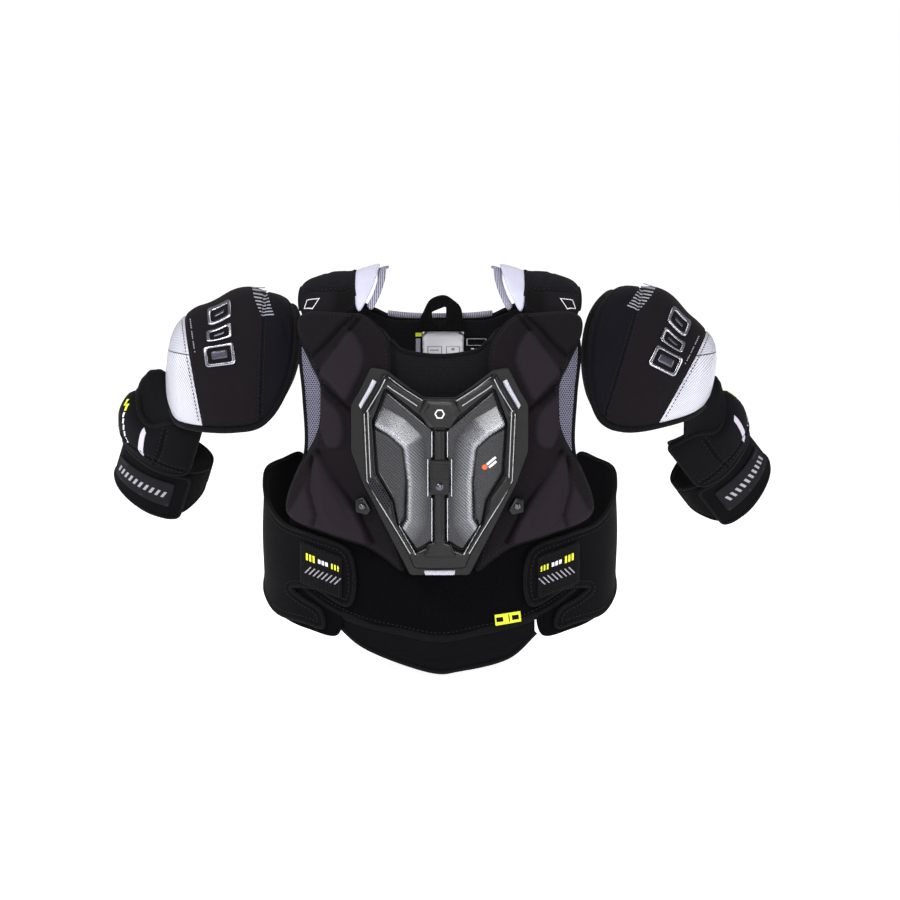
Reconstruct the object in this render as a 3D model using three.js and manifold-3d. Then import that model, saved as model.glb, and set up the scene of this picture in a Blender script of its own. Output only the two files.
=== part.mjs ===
// Hockey shoulder pads: padded torso, sternum guard, shoulder caps, bicep guards, waist straps.
// Millimetres, +Z up, front faces -Y, origin at the middle of the wearer's shoulder line.
import * as THREE from 'three';
import { TessellateModifier } from 'three/addons/modifiers/TessellateModifier.js';
import { mergeVertices } from 'three/addons/utils/BufferGeometryUtils.js';
import Module from 'manifold-3d';

const wasm = await Module();
wasm.setup();

// Torso: a soft rectangle in plan, closed over the shoulders by an arch.
const TORSO_HALF_WIDTH = 168;
const TORSO_FRONT_DEPTH = 100;
const TORSO_BACK_DEPTH = 85;
const TORSO_POWER = 2.5;
const ARCH_FOOT_Z = -90;
const RIDGE_TOP_Z = 12;
const RIDGE_TOP_X = 84;
const RIDGE_FALL = 0.3;

// Depths of the layers, measured outward from the torso surface.
const LINER = [0, 3.6];
const PAD = [5, 17];
const BASE_PLATE = [18, 21];
const PLATE = [21.8, 25.4];
const FRAME = [21.8, 29];
const ON_FRAME = [29.6, 31];
const SPINE = [29.6, 34];
const HUB = [29.6, 33];
const SLEEVE = [34.6, 37];
const BUTTON = [37.6, 39];
const ACCENT = [21.8, 24];
const LUG = [18, 23];
const LUG_RIVET = [23.4, 25.4];
const BELLY = [0, 4];
const LOW_PAD = [-6, 4];
const SIZE_TAG = [4.2, 5.8];
const BACK_PAD = [4.8, 15.6];
const INSIDE_LABEL = [-1.4, -0.5];
const YOKE = [1, 13];
const WING = [15, 17.8];
const STRAP = [5, 9];
const TAB = [9.8, 11.6];
const STRAP_REAR = 292;
const MESH_STEP = 18;
const YOKE_STEP = 14;
// Below the arch the torso is straight up and down, so triangles there may be taller.
const STRAIGHT_PRESS = 0.36;

// Shoulder cap: a cup over the upper arm, given by its half sizes from the rim's centre.
const CAP_HALF = { inner: 100, out: 70, deep: 80, high: 130 };
const PLATE_INSET = 1.28;
const CAP_SINK = 62;
const CAP_PLAN_POWER = 3.4;
const CAP_SIDE_POWER = 2.3;
const CAP_SKIN = [-2.4, 0];
const CAP_SHELL = [-9, -3];
const CAP_LINER = [-14, -9.6];
const CAP_BINDING_RADIUS = 3;
const CAP_SAG = 11;
const VISOR_SEAM = 36;
// Rim height as an angle from the cup's top, by bearing: 0 inner, 90 front, 180 outer.
const RIGHT_RIM = [[0, 31], [25, 36], [40, 48], [50, 63], [60, 78], [72, 89], [80, 92], [100, 90], [120, 85],
  [140, 79], [155, 66], [168, 57], [180, 53]];
const LEFT_RIM = [[0, 31], [25, 36], [40, 53], [50, 67], [60, 82], [72, 94], [80, 97], [90, 95], [100, 90],
  [120, 73], [140, 59], [155, 52], [180, 49]];

// Arm tube: radii across and in depth, and lengths along the arm.
const ARM_SQUASH = 0.82;
// Upper edges run along the arm by bearing: -90 back, 0 outer side, 90 front.
const LINER_TOP = [[-125, 56], [-60, 54], [-15, 14], [15, 10], [40, 16], [62, 12], [85, -6], [125, -10]];
const GUARD_TOP = [[-98, 48], [-60, 46], [-15, -2], [15, -6], [40, 10], [62, 12], [82, -4], [104, -8],
  [140, -8]];
// Lower edges by bearing: the strap and its flap hang lowest at the front, and the guard stops above them.
const GUARD_END = [[-98, 58], [0, 50], [50, 50], [86, 53], [118, 50]];
const FLAP_TOP = [[-70, 58.5], [0, 52], [50, 52], [86, 55], [125, 55]];
const STRAP_END = [[-168, 78], [-60, 86], [0, 88], [50, 95], [88, 101], [114, 102], [132, 98], [168, 78]];
const FLAP_END = [[-70, 88], [0, 90], [50, 97], [88, 103], [114, 104], [125, 102]];
const LINER_END = [[-125, 76], [0, 83], [50, 90], [88, 96], [125, 94]];
const ARM_LINER = { radii: [37, 40.4], top: LINER_TOP, end: LINER_END, arc: [-125, 125] };
const STRAP_BASE = { radii: [41.4, 44.4], top: [[-168, 50], [168, 50]], end: STRAP_END, arc: [-168, 168] };
const GUARD = { radii: [45.4, 53], top: GUARD_TOP, end: GUARD_END, arc: [-98, 118] };
const FLAP = { radii: [45.4, 48.8], top: FLAP_TOP, end: FLAP_END, arc: [-70, 125] };
const PATCH = { radii: [49.4, 51], top: [[24, 62], [108, 63]], end: [[24, 84], [108, 91]], arc: [24, 108] };

const SIDES = [
  { side: 'right', sign: -1, cap: [208, 0, -67], droop: 11, armDroop: 72, rim: RIGHT_RIM },
  { side: 'left', sign: 1, cap: [212, 0, -70], droop: 30, armDroop: 52, rim: LEFT_RIM },
];
// Where the arm tube starts in the cap's own frame, and how far its lower end leans back.
const ARM_START = [57, 2, -42];
const ARM_BACK = 24;
const HANG_LOOP_BACK = 72.7;
const TAPE_THICK = 2.2;
const BACK_PLATE_FACE = 105.4;
const BACK_PLATE_THICK = 4;

const COLOURS = {
  black: 0x0c0c0e, pad: 0x1c181b, navy: 0x14151f, silver: 0xd5d5de, mesh: 0x83839a, wing: 0xcfcfdd,
  plate: 0x2a2b2e, frame: 0x101012, metal: 0xb9b9c4, label: 0xdedce4, lime: 0xdce62c, loop: 0x0a0a0b,
};

const group = new THREE.Group();
group.name = 'shoulder_pads';

function addNode(name, geometry, colour, roughness = 0.85, metalness = 0) {
  const material = new THREE.MeshStandardMaterial({ color: COLOURS[colour], roughness, metalness });
  const mesh = new THREE.Mesh(closed(geometry), material);
  mesh.name = name;
  group.add(mesh);
}

function closed(geometry) {
  const plain = geometry.clone();
  plain.deleteAttribute('normal');
  plain.deleteAttribute('uv');
  const welded = mergeVertices(plain, 1e-3);
  if (volumeOf(welded) < 0) flip(welded);
  welded.computeVertexNormals();
  return welded;
}

function volumeOf(geometry) {
  const p = geometry.attributes.position;
  const index = geometry.index.array;
  const [a, b, c] = [new THREE.Vector3(), new THREE.Vector3(), new THREE.Vector3()];
  let sum = 0;
  for (let i = 0; i < index.length; i += 3) {
    a.fromBufferAttribute(p, index[i]);
    b.fromBufferAttribute(p, index[i + 1]);
    c.fromBufferAttribute(p, index[i + 2]);
    sum += a.dot(b.cross(c)) / 6;
  }
  return sum;
}

function flip(geometry) {
  const index = geometry.index.array;
  for (let i = 0; i < index.length; i += 3) {
    [index[i], index[i + 1]] = [index[i + 1], index[i]];
  }
}

// ---- the torso surface ----

const share = (x) => Math.min(1, Math.abs(x) / TORSO_HALF_WIDTH);
const widthFactor = (x) => (1 - share(x) ** TORSO_POWER) ** (1 / TORSO_POWER);
const ridgeZ = (x) => RIDGE_TOP_Z - RIDGE_FALL * (Math.abs(x) - RIDGE_TOP_X);

function torsoBase(x, z, face) {
  const depth = face < 0 ? TORSO_FRONT_DEPTH : TORSO_BACK_DEPTH;
  const rise = Math.min(0.999, (z - ARCH_FOOT_Z) / (ridgeZ(x) - ARCH_FOOT_Z));
  const lean = rise <= 0 ? 0 : Math.asin(rise);
  return new THREE.Vector3(x, face * depth * widthFactor(x) * Math.cos(lean), z);
}

function onTorso(face) {
  return (x, z, offset) => {
    const step = 0.5;
    const across = torsoBase(x + step, z, face).sub(torsoBase(x - step, z, face));
    const up = torsoBase(x, z + step, face).sub(torsoBase(x, z - step, face));
    const normal = across.cross(up).normalize();
    if (normal.y * face < 0) normal.negate();
    return torsoBase(x, z, face).addScaledVector(normal, offset);
  };
}

function onArch(x, turn, offset) {
  const depth = turn < 90 ? TORSO_FRONT_DEPTH : TORSO_BACK_DEPTH;
  const a = THREE.MathUtils.degToRad(turn);
  const reach = depth * widthFactor(x);
  const rise = ridgeZ(x) - ARCH_FOOT_Z;
  const normal = new THREE.Vector3(0, -Math.cos(a) / reach, Math.sin(a) / rise).normalize();
  const base = new THREE.Vector3(x, -reach * Math.cos(a), ARCH_FOOT_Z + rise * Math.sin(a));
  return base.addScaledVector(normal, offset);
}

// One shoulder: distance from the middle, degrees over the arch, offset.
function onShoulder(sign) {
  const mirror = new THREE.Vector3(sign, 1, 1);
  return (x, turn, offset) => onArch(x, turn, offset).multiply(mirror);
}

// Plan of the torso as a walk round its edge: 0 at the front middle, positive towards +X.
const WALK = planWalk();

function planWalk() {
  const points = [];
  const steps = 720;
  for (let i = 0; i <= steps; i += 1) {
    const a = Math.PI * i / steps;
    const depth = a < Math.PI / 2 ? TORSO_FRONT_DEPTH : TORSO_BACK_DEPTH;
    const s = Math.abs(Math.sin(a)) ** (2 / TORSO_POWER);
    const c = Math.abs(Math.cos(a)) ** (2 / TORSO_POWER) * Math.sign(Math.cos(a));
    points.push({ x: TORSO_HALF_WIDTH * s, y: -depth * c, length: 0 });
  }
  for (let i = 1; i < points.length; i += 1) {
    const gap = Math.hypot(points[i].x - points[i - 1].x, points[i].y - points[i - 1].y);
    points[i].length = points[i - 1].length + gap;
  }
  return points;
}

function walkPoint(distance) {
  let i = 1;
  while (i < WALK.length - 1 && WALK[i].length < distance) i += 1;
  const [p, q] = [WALK[i - 1], WALK[i]];
  const t = (distance - p.length) / (q.length - p.length);
  return [p.x + (q.x - p.x) * t, p.y + (q.y - p.y) * t];
}

function onWaist(distance, z, offset) {
  const side = Math.sign(distance) || 1;
  const at = Math.abs(distance);
  const [x, y] = walkPoint(at);
  const [x0, y0] = walkPoint(at - 2);
  const [x1, y1] = walkPoint(at + 2);
  const size = Math.hypot(x1 - x0, y1 - y0);
  return new THREE.Vector3(side * (x + offset * (y1 - y0) / size), y - offset * (x1 - x0) / size, z);
}

// ---- builders ----

function outlineShape(points, soft) {
  const corners = crossed(points).map(([x, z]) => new THREE.Vector2(x, pressed(z)));
  if (!soft) return new THREE.Shape(corners);
  const knots = corners.map((p) => new THREE.Vector3(p.x, p.y, 0));
  const loop = new THREE.CatmullRomCurve3(knots, true, 'centripetal');
  const around = loop.getPoints(points.length * 2).slice(0, -1);
  return new THREE.Shape(around.map((p) => new THREE.Vector2(p.x, p.y)));
}

// Add a corner wherever an edge crosses the foot of the arch, so that it stays straight.
function crossed(points) {
  return points.flatMap(([x, z], i) => {
    const [nextX, nextZ] = points[(i + 1) % points.length];
    const [a, b] = [z - ARCH_FOOT_Z, nextZ - ARCH_FOOT_Z];
    if (a * b >= 0) return [[x, z]];
    return [[x, z], [x + (nextX - x) * a / (a - b), ARCH_FOOT_Z]];
  });
}

const scaledBelow = (z, factor) => (z < ARCH_FOOT_Z ? ARCH_FOOT_Z + (z - ARCH_FOOT_Z) * factor : z);
const pressed = (z) => scaledBelow(z, STRAIGHT_PRESS);
const unpressed = (z) => scaledBelow(z, 1 / STRAIGHT_PRESS);

function warp(geometry, map, base) {
  const p = geometry.attributes.position;
  for (let i = 0; i < p.count; i += 1) {
    const v = map(p.getX(i), unpressed(p.getY(i)), base + p.getZ(i));
    p.setXYZ(i, v.x, v.y, v.z);
  }
  return geometry;
}

function panel(points, layer, map, { soft = true, holes = [], step = MESH_STEP } = {}) {
  const shape = outlineShape(points, soft);
  for (const hole of holes) {
    shape.holes.push(new THREE.Path(crossed(hole).map(([x, z]) => new THREE.Vector2(x, pressed(z)))));
  }
  const depth = layer[1] - layer[0];
  const flat = new THREE.ExtrudeGeometry(shape, { depth, bevelEnabled: false, steps: 1 });
  flat.deleteAttribute('normal');
  flat.deleteAttribute('uv');
  return warp(new TessellateModifier(step, 14).modify(flat), map, layer[0]);
}

const mirrored = (points) => points.map(([x, z]) => [-x, z]).reverse();

// A closed shell from a grid of places on an outer and an inner surface.
function gridShell(columns, rows, place, pole) {
  const positions = [];
  const index = [];
  const stride = rows + 1;
  const id = (layer, i, j) => (layer * (columns + 1) + i) * stride + j;
  for (const layer of [0, 1]) {
    for (let i = 0; i <= columns; i += 1) {
      for (let j = 0; j <= rows; j += 1) positions.push(...place(i / columns, j / rows, layer).toArray());
    }
  }
  const quad = (a, b, c, d) => index.push(a, b, c, a, c, d);
  for (let i = 0; i < columns; i += 1) {
    for (let j = 0; j < rows; j += 1) {
      quad(id(0, i, j), id(0, i, j + 1), id(0, i + 1, j + 1), id(0, i + 1, j));
      quad(id(1, i, j), id(1, i + 1, j), id(1, i + 1, j + 1), id(1, i, j + 1));
    }
    quad(id(0, i, rows), id(1, i, rows), id(1, i + 1, rows), id(0, i + 1, rows));
    if (!pole) quad(id(0, i, 0), id(0, i + 1, 0), id(1, i + 1, 0), id(1, i, 0));
  }
  if (!pole) {
    for (let j = 0; j < rows; j += 1) {
      quad(id(0, 0, j), id(1, 0, j), id(1, 0, j + 1), id(0, 0, j + 1));
      quad(id(0, columns, j), id(0, columns, j + 1), id(1, columns, j + 1), id(1, columns, j));
    }
  }
  return cleaned(positions, index);
}

function cleaned(positions, index) {
  const geometry = new THREE.BufferGeometry();
  geometry.setAttribute('position', new THREE.Float32BufferAttribute(positions, 3));
  geometry.setIndex(index);
  const welded = mergeVertices(geometry, 1e-3);
  const kept = [];
  const all = welded.index.array;
  for (let i = 0; i < all.length; i += 3) {
    const [a, b, c] = [all[i], all[i + 1], all[i + 2]];
    if (a !== b && b !== c && a !== c) kept.push(a, b, c);
  }
  welded.setIndex(kept);
  return welded;
}

function closedBar(points, half, frames) {
  const sides = 6;
  const positions = [];
  const index = [];
  points.forEach((p, i) => {
    for (let k = 0; k < sides; k += 1) {
      const a = 2 * Math.PI * k / sides;
      const spot = p.clone().addScaledVector(frames[i][0], half[0] * Math.cos(a));
      positions.push(...spot.addScaledVector(frames[i][1], half[1] * Math.sin(a)).toArray());
    }
  });
  const count = points.length;
  for (let i = 0; i < count; i += 1) {
    for (let k = 0; k < sides; k += 1) {
      const [a, b] = [i * sides + k, ((i + 1) % count) * sides + k];
      const [c, d] = [((i + 1) % count) * sides + (k + 1) % sides, i * sides + (k + 1) % sides];
      index.push(a, b, c, a, c, d);
    }
  }
  return cleaned(positions, index);
}

function toManifold(geometry) {
  const g = closed(geometry);
  const vertProperties = new Float32Array(g.attributes.position.array);
  const triVerts = new Uint32Array(g.index.array);
  return new wasm.Manifold(new wasm.Mesh({ numProp: 3, vertProperties, triVerts }));
}

function fromManifold(solid) {
  const mesh = solid.getMesh();
  const geometry = new THREE.BufferGeometry();
  geometry.setAttribute('position', new THREE.Float32BufferAttribute(mesh.vertProperties, 3));
  geometry.setIndex(Array.from(mesh.triVerts));
  return geometry;
}

function disc(x, z, radius, layer, map, sides = 14) {
  const points = [];
  for (let i = 0; i < sides; i += 1) {
    const a = 2 * Math.PI * i / sides;
    points.push([x + radius * Math.cos(a), z + radius * Math.sin(a)]);
  }
  return panel(points, layer, map, { soft: false });
}

const front = onTorso(-1);
const back = onTorso(1);

// ---- torso front ----

function buildFront() {
  const liner = [[0, -60], [-38, -54], [-54, -36], [-78, -26], [-108, -26], [-130, -34], [-136, -50],
    [-132, -100], [-130, -150], [-138, -190], [-138, -216], [-104, -232], [-50, -252], [0, -256]];
  const whole = liner.concat(mirrored(liner.slice(1, -1)));
  addNode('front_liner', panel(whole, LINER, front), 'mesh', 0.9);
  const chest = [[-84, -27], [-107, -27], [-124, -27], [-133, -33], [-134, -42], [-121, -70], [-113, -86],
    [-112, -104], [-114, -131], [-125, -156], [-133, -170], [-143, -216], [-105, -234], [-68, -246],
    [-50, -258], [-36, -268], [-42, -235], [-62, -195], [-66, -150], [-66, -112], [-47, -78],
    [-49, -50], [-61, -34], [-74, -27]];
  addNode('chest_pad_right', panel(chest, PAD, front), 'pad', 0.85);
  addNode('chest_pad_left', panel(mirrored(chest), PAD, front), 'pad', 0.85);
  const core = [[-44, -80], [-15, -101], [0, -104], [15, -101], [44, -80], [62, -114], [62, -150], [58, -194],
    [38, -234], [30, -262], [-30, -262], [-38, -234], [-58, -194], [-62, -150], [-62, -114]];
  addNode('sternum_foam', panel(core, PAD, front, { soft: false }), 'black', 0.9);
}

// ---- sternum guard ----

function buildSternum() {
  const half = [[-64, -72], [-82, -106], [-82, -151], [-71, -184], [-28, -272]];
  const base = [...half, ...mirrored(half), [50, -74], [15, -98], [-15, -98], [-50, -74]];
  addNode('sternum_base', panel(base, BASE_PLATE, front, { soft: false }), 'frame', 0.7);
  const opening = [[-50, -90], [-61, -122], [-58, -172], [-43, -199], [-39, -221], [-22, -248], [-6, -240],
    [-6, -128], [-20, -116]];
  const edge = [[-53, -78], [-71, -112], [-68, -181], [-29, -252], [-24, -265]];
  const outer = [...edge, ...mirrored(edge), [50, -77], [15, -99], [-15, -99], [-50, -77]];
  const rim = panel(outer, FRAME, front, { soft: false, holes: [opening, mirrored(opening)] });
  addNode('sternum_frame', rim, 'frame', 0.45);
  const inset = shrink(opening, PLATE_INSET);
  addNode('sternum_plate_right', panel(inset, PLATE, front, { soft: false }), 'plate', 0.3, 0.2);
  addNode('sternum_plate_left', panel(mirrored(inset), PLATE, front, { soft: false }), 'plate', 0.3, 0.2);
  const strut = [[-5, -129], [5, -129], [5, -157], [5, -238], [11, -240], [16, -253], [-16, -253],
    [-11, -240], [-5, -238]];
  addNode('sternum_spine', panel(strut, SPINE, front, { soft: false }), 'frame', 0.5);
  const hub = [[-13, -100], [13, -100], [20, -112], [10, -127.5], [-10, -127.5], [-20, -112]];
  addNode('sternum_hub', panel(hub, HUB, front, { soft: false }), 'frame', 0.4);
  const sleeve = [[-9, -158], [9, -158], [9, -192], [-9, -192]];
  addNode('spine_sleeve', panel(sleeve, SLEEVE, front, { soft: false }), 'black', 0.6);
  addNode('spine_rivet', disc(0, -184, 4, BUTTON, front), 'metal', 0.35, 0.8);
  const low = [[-15, -266.5], [15, -266.5], [14, -271], [-14, -271]];
  addNode('accent_bottom', panel(low, ACCENT, front, { soft: false }), 'metal', 0.4);
  const bar = [[-58, -84], [-62, -82], [-74.5, -106], [-72.5, -110]];
  const pocket = [[-60, -174], [-46, -197], [-46, -206], [-63, -181]];
  const lug = [[-78, -198], [-70, -195], [-63, -208], [-67, -214], [-78, -211]];
  for (const [side, turn] of [['right', (p) => p], ['left', mirrored]]) {
    addNode(`accent_${side}`, panel(turn(bar), ACCENT, front, { soft: false }), 'metal', 0.4);
    addNode(`frame_insert_${side}`, panel(turn(pocket), ON_FRAME, front, { soft: false }), 'plate', 0.5);
    addNode(`anchor_lug_${side}`, panel(turn(lug), LUG, front, { soft: false }), 'black', 0.5);
  }
  for (const { side, sign } of SIDES) {
    addNode(`anchor_rivet_${side}`, disc(sign * 71.5, -205, 3, LUG_RIVET, front, 12), 'metal', 0.3, 0.8);
  }
}

function shrink(points, amount) {
  const centre = points.reduce((s, p) => [s[0] + p[0] / points.length, s[1] + p[1] / points.length], [0, 0]);
  return points.map(([x, z]) => {
    const [dx, dz] = [x - centre[0], z - centre[1]];
    const size = Math.hypot(dx, dz);
    return [x - dx / size * amount, z - dz / size * amount];
  });
}

// ---- belly, waist and back ----

function buildWaist() {
  const bellyTop = [[-146, -218.5], [-104, -234.5], [-50, -254.5], [0, -258.5], [50, -254.5],
    [104, -234.5], [146, -218.5]];
  const bellyLow = [[150, -275], [115, -304], [78, -322], [39, -331], [0, -338], [-39, -331],
    [-78, -322], [-115, -304], [-150, -275]];
  addNode('belly_panel', panel([...bellyTop, ...bellyLow], BELLY, front, { soft: false }), 'loop', 0.95);
  const padTop = [[-104, -313], [-78, -325.5], [-39, -334.5], [0, -341.5], [39, -334.5], [78, -325.5],
    [98, -315]];
  const padLow = [[96, -338], [68, -357], [16, -370], [-1, -372], [-47, -359], [-78, -345], [-104, -326]];
  addNode('belly_pad', panel([...padTop, ...padLow], LOW_PAD, front, { soft: false }), 'black', 0.9);
  const tag = [[53, -313], [78, -309.5], [79, -320], [54, -324]];
  addNode('size_tag', panel(tag, SIZE_TAG, front, { soft: false }), 'lime', 0.7);
  const strap = [[88, -252], [124, -237], [160, -227], [196, -204], [232, -183], [270, -174],
    [STRAP_REAR, -170], [STRAP_REAR, -225], [288, -268], [262, -280], [228, -290], [196, -303],
    [166, -317], [136, -322], [114, -326], [117, -311], [138, -299], [150, -290], [124, -288], [88, -303]];
  const tab = [[94, -256], [136, -242], [136, -284], [94, -298]];
  for (const { side, sign } of SIDES) {
    const facing = (points) => (sign > 0 ? points : mirrored(points));
    addNode(`waist_strap_${side}`, panel(facing(strap), STRAP, onWaist), 'black', 0.9);
    addNode(`strap_tab_${side}`, panel(facing(tab), TAB, onWaist, { soft: false }), 'black', 0.6);
  }
}

function buildBack() {
  const half = [[0, -34], [-48, -34], [-66, -27], [-84, -20], [-108, -20], [-124, -32], [-124, -60],
    [-118, -110], [-122, -160], [-128, -175], [-128, -304], [-108, -316], [-50, -320], [0, -320]];
  const whole = half.concat(mirrored(half.slice(1, -1)));
  addNode('back_liner', panel(whole, LINER, back), 'mesh', 0.9);
  const cover = half.map(([x, z]) => [x * 0.97, z < -200 ? z + 2 : z - 1]);
  addNode('back_panel', panel(cover.concat(mirrored(cover.slice(1, -1))), BACK_PAD, back), 'black', 0.9);
  const upper = [[-30, -60], [30, -60], [42, -85], [34, -165], [-34, -165], [-42, -85]];
  const lower = [[-32, -170], [32, -170], [40, -200], [24, -270], [-24, -270], [-40, -200]];
  addNode('back_plate_upper', slab(upper), 'frame', 0.5);
  addNode('back_plate_lower', slab(lower), 'frame', 0.5);
}

function slab(points) {
  const shape = new THREE.Shape(points.map(([x, z]) => new THREE.Vector2(x, z)));
  const flat = new THREE.ExtrudeGeometry(shape, { depth: BACK_PLATE_THICK, bevelEnabled: false, steps: 1 });
  return flat.rotateX(Math.PI / 2).translate(0, BACK_PLATE_FACE, 0);
}

// ---- collar ----

function buildCollar() {
  const wing = [[62, 100], [84, 98], [85, 64], [83, 50], [76, 42], [69, 50], [62, 66]];
  for (const { side, sign } of SIDES) {
    addNode(`collar_wing_${side}`, panel(wing, WING, onShoulder(sign)), 'wing', 0.8);
  }
  const label = [[-18, -46], [24, -46], [24, -72], [-18, -72]];
  const patch = [[26, -52], [48, -52], [48, -66], [26, -66]];
  addNode('care_label', panel(label, INSIDE_LABEL, back, { soft: false }), 'label', 0.8);
  addNode('size_patch', panel(patch, INSIDE_LABEL, back, { soft: false }), 'black', 0.8);
}

function buildHangLoop() {
  const band = [[-22, -44], [23, -44], [23, -36], [22, -20], [5, -7], [-11, -12], [-22, -36]];
  const gap = [[-9, -26], [6, -20], [6, -37], [-6, -37]];
  const shape = new THREE.Shape(band.map(([x, z]) => new THREE.Vector2(x, z)));
  shape.holes.push(new THREE.Path(gap.map(([x, z]) => new THREE.Vector2(x, z))));
  const flat = new THREE.ExtrudeGeometry(shape, { depth: TAPE_THICK, bevelEnabled: false, steps: 1 });
  addNode('hang_loop', flat.rotateX(Math.PI / 2).translate(0, HANG_LOOP_BACK, 0), 'black', 0.9);
}

// ---- shoulders ----

function buildYokes() {
  const yoke = [[70, 50], [92, 45], [118, 44], [134, 49], [138, 90], [134, 120], [112, 126], [84, 124],
    [70, 114], [66, 90]];
  for (const { side, sign } of SIDES) {
    addNode(`yoke_pad_${side}`, panel(yoke, YOKE, onShoulder(sign), { step: YOKE_STEP }), 'navy', 0.8);
  }
}

function capRadius(bearing, fall) {
  const [c, s] = [Math.cos(bearing), Math.sin(bearing)];
  const half = c > 0 ? CAP_HALF.inner : CAP_HALF.out;
  const across = Math.abs(c / half) ** CAP_PLAN_POWER;
  const along = Math.abs(s / CAP_HALF.deep) ** CAP_PLAN_POWER;
  const plan = (across + along) ** (1 / CAP_PLAN_POWER);
  const flat = (plan * Math.sin(fall)) ** CAP_SIDE_POWER;
  return (flat + Math.abs(Math.cos(fall) / CAP_HALF.high) ** CAP_SIDE_POWER) ** (-1 / CAP_SIDE_POWER);
}

function lookUp(table, value) {
  let i = 1;
  while (i < table.length - 1 && table[i][0] < value) i += 1;
  const [[a, p], [b, q]] = [table[i - 1], table[i]];
  return p + (q - p) * (value - a) / (b - a);
}

function capRim(bearing, rim) {
  const degrees = Math.abs(THREE.MathUtils.radToDeg(Math.atan2(Math.sin(bearing), Math.cos(bearing))));
  return THREE.MathUtils.degToRad(lookUp(rim, degrees));
}

// The soft dome sags a little at the top of its outer side.
function sag(x, z) {
  const high = THREE.MathUtils.smoothstep(z, 10, 50);
  return CAP_SAG * high * Math.exp(-(((x - 12) / 24) ** 2));
}

function capPoint(bearing, fall, offset) {
  const r = capRadius(bearing, fall);
  const reach = Math.sin(fall) * r;
  const at = new THREE.Vector3(-reach * Math.cos(bearing), -reach * Math.sin(bearing), Math.cos(fall) * r);
  const pull = new THREE.Vector3(at.x, at.y, at.z * 0.55).normalize();
  at.addScaledVector(pull, offset).add(new THREE.Vector3(0, 0, -CAP_SINK));
  at.z -= sag(at.x, at.z);
  return at;
}

function capDome(layer, rim, trim = 0) {
  const place = (u, v, side) => {
    const bearing = 2 * Math.PI * u;
    return capPoint(bearing, Math.max(v, 1e-6) * (capRim(bearing, rim) - trim), side ? layer[0] : layer[1]);
  };
  return gridShell(26, 7, place, true);
}

function capBinding(rim) {
  const count = 32;
  const points = [];
  const frames = [];
  for (let i = 0; i < count; i += 1) {
    const bearing = 2 * Math.PI * i / count;
    const fall = capRim(bearing, rim) + 0.062;
    points.push(capPoint(bearing, fall, -7));
    const out = capPoint(bearing, fall, 0).sub(capPoint(bearing, fall, -8)).normalize();
    const down = capPoint(bearing, fall + 0.05, -7).sub(capPoint(bearing, fall, -7)).normalize();
    frames.push([out, down]);
  }
  return closedBar(points, [7.4, CAP_BINDING_RADIUS], frames);
}

// Turn the cap's own frame (x outward along the arm, z up) into place on one side.
function capToBody(geometry, { sign, cap, droop }) {
  geometry.rotateY(THREE.MathUtils.degToRad(droop));
  if (sign < 0) geometry.scale(-1, 1, 1);
  return geometry.translate(sign * cap[0], cap[1], cap[2]);
}

function buildCaps() {
  for (const place of SIDES) {
    const { side, rim } = place;
    addNode(`cap_liner_${side}`, capToBody(capDome(CAP_LINER, rim), place), 'mesh', 0.9);
    addNode(`cap_shell_${side}`, capToBody(capDome(CAP_SHELL, rim), place), 'black', 0.8);
    const skin = toManifold(capDome(CAP_SKIN, rim, 0.01));
    const outer = new THREE.BoxGeometry(200, 300, 400).translate(VISOR_SEAM + 100, 0, 0);
    const inner = new THREE.BoxGeometry(200, 300, 400).translate(VISOR_SEAM - 100.7, 0, 0);
    const tilt = THREE.MathUtils.degToRad(-6);
    const visor = skin.intersect(toManifold(outer.rotateY(tilt)));
    const cover = skin.intersect(toManifold(inner.rotateY(tilt)));
    addNode(`cap_visor_${side}`, capToBody(fromManifold(visor), place), 'silver', 0.4);
    addNode(`cap_cover_${side}`, capToBody(fromManifold(cover), place), 'navy', 0.8);
    addNode(`cap_binding_${side}`, capToBody(capBinding(rim), place), 'black', 0.9);
  }
}

// Arm tube frame: x outward (lateral), y depth, z down the arm is negative.
function armShell({ radii, top, end, arc }, bulge = 0, columns = 20, rows = 6) {
  const place = (u, v, side) => {
    const bearing = arc[0] + (arc[1] - arc[0]) * u;
    const a = THREE.MathUtils.degToRad(bearing);
    const start = lookUp(top, bearing);
    const finish = lookUp(end, bearing);
    const swell = bulge * Math.sin(Math.PI * Math.min(1, v * 0.9 + 0.1));
    const r = (side ? radii[0] : radii[1]) + swell;
    return new THREE.Vector3(r * Math.cos(a), -r * Math.sin(a) * ARM_SQUASH, -(start + (finish - start) * v));
  };
  return gridShell(columns, rows, place, false);
}

function armToBody(geometry, { sign, cap, droop, armDroop }) {
  const up = new THREE.Vector3(0, 1, 0);
  const start = new THREE.Vector3(...ARM_START).applyAxisAngle(up, THREE.MathUtils.degToRad(droop));
  start.add(new THREE.Vector3(...cap));
  geometry.rotateX(THREE.MathUtils.degToRad(ARM_BACK));
  geometry.rotateY(THREE.MathUtils.degToRad(armDroop - 90));
  if (sign < 0) geometry.scale(-1, 1, 1);
  return geometry.translate(sign * start.x, start.y, start.z);
}

function buildArms() {
  for (const place of SIDES) {
    const { side } = place;
    addNode(`bicep_liner_${side}`, armToBody(armShell(ARM_LINER), place), 'mesh', 0.9);
    addNode(`bicep_strap_${side}`, armToBody(armShell(STRAP_BASE, 0, 26, 3), place), 'black', 0.9);
    addNode(`bicep_guard_${side}`, armToBody(armShell(GUARD, 3), place), 'black', 0.85);
    addNode(`bicep_flap_${side}`, armToBody(armShell(FLAP, 0, 16, 3), place), 'black', 0.85);
    addNode(`bicep_patch_${side}`, armToBody(armShell(PATCH, 0, 10, 2), place), 'black', 0.6);
  }
}

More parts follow.
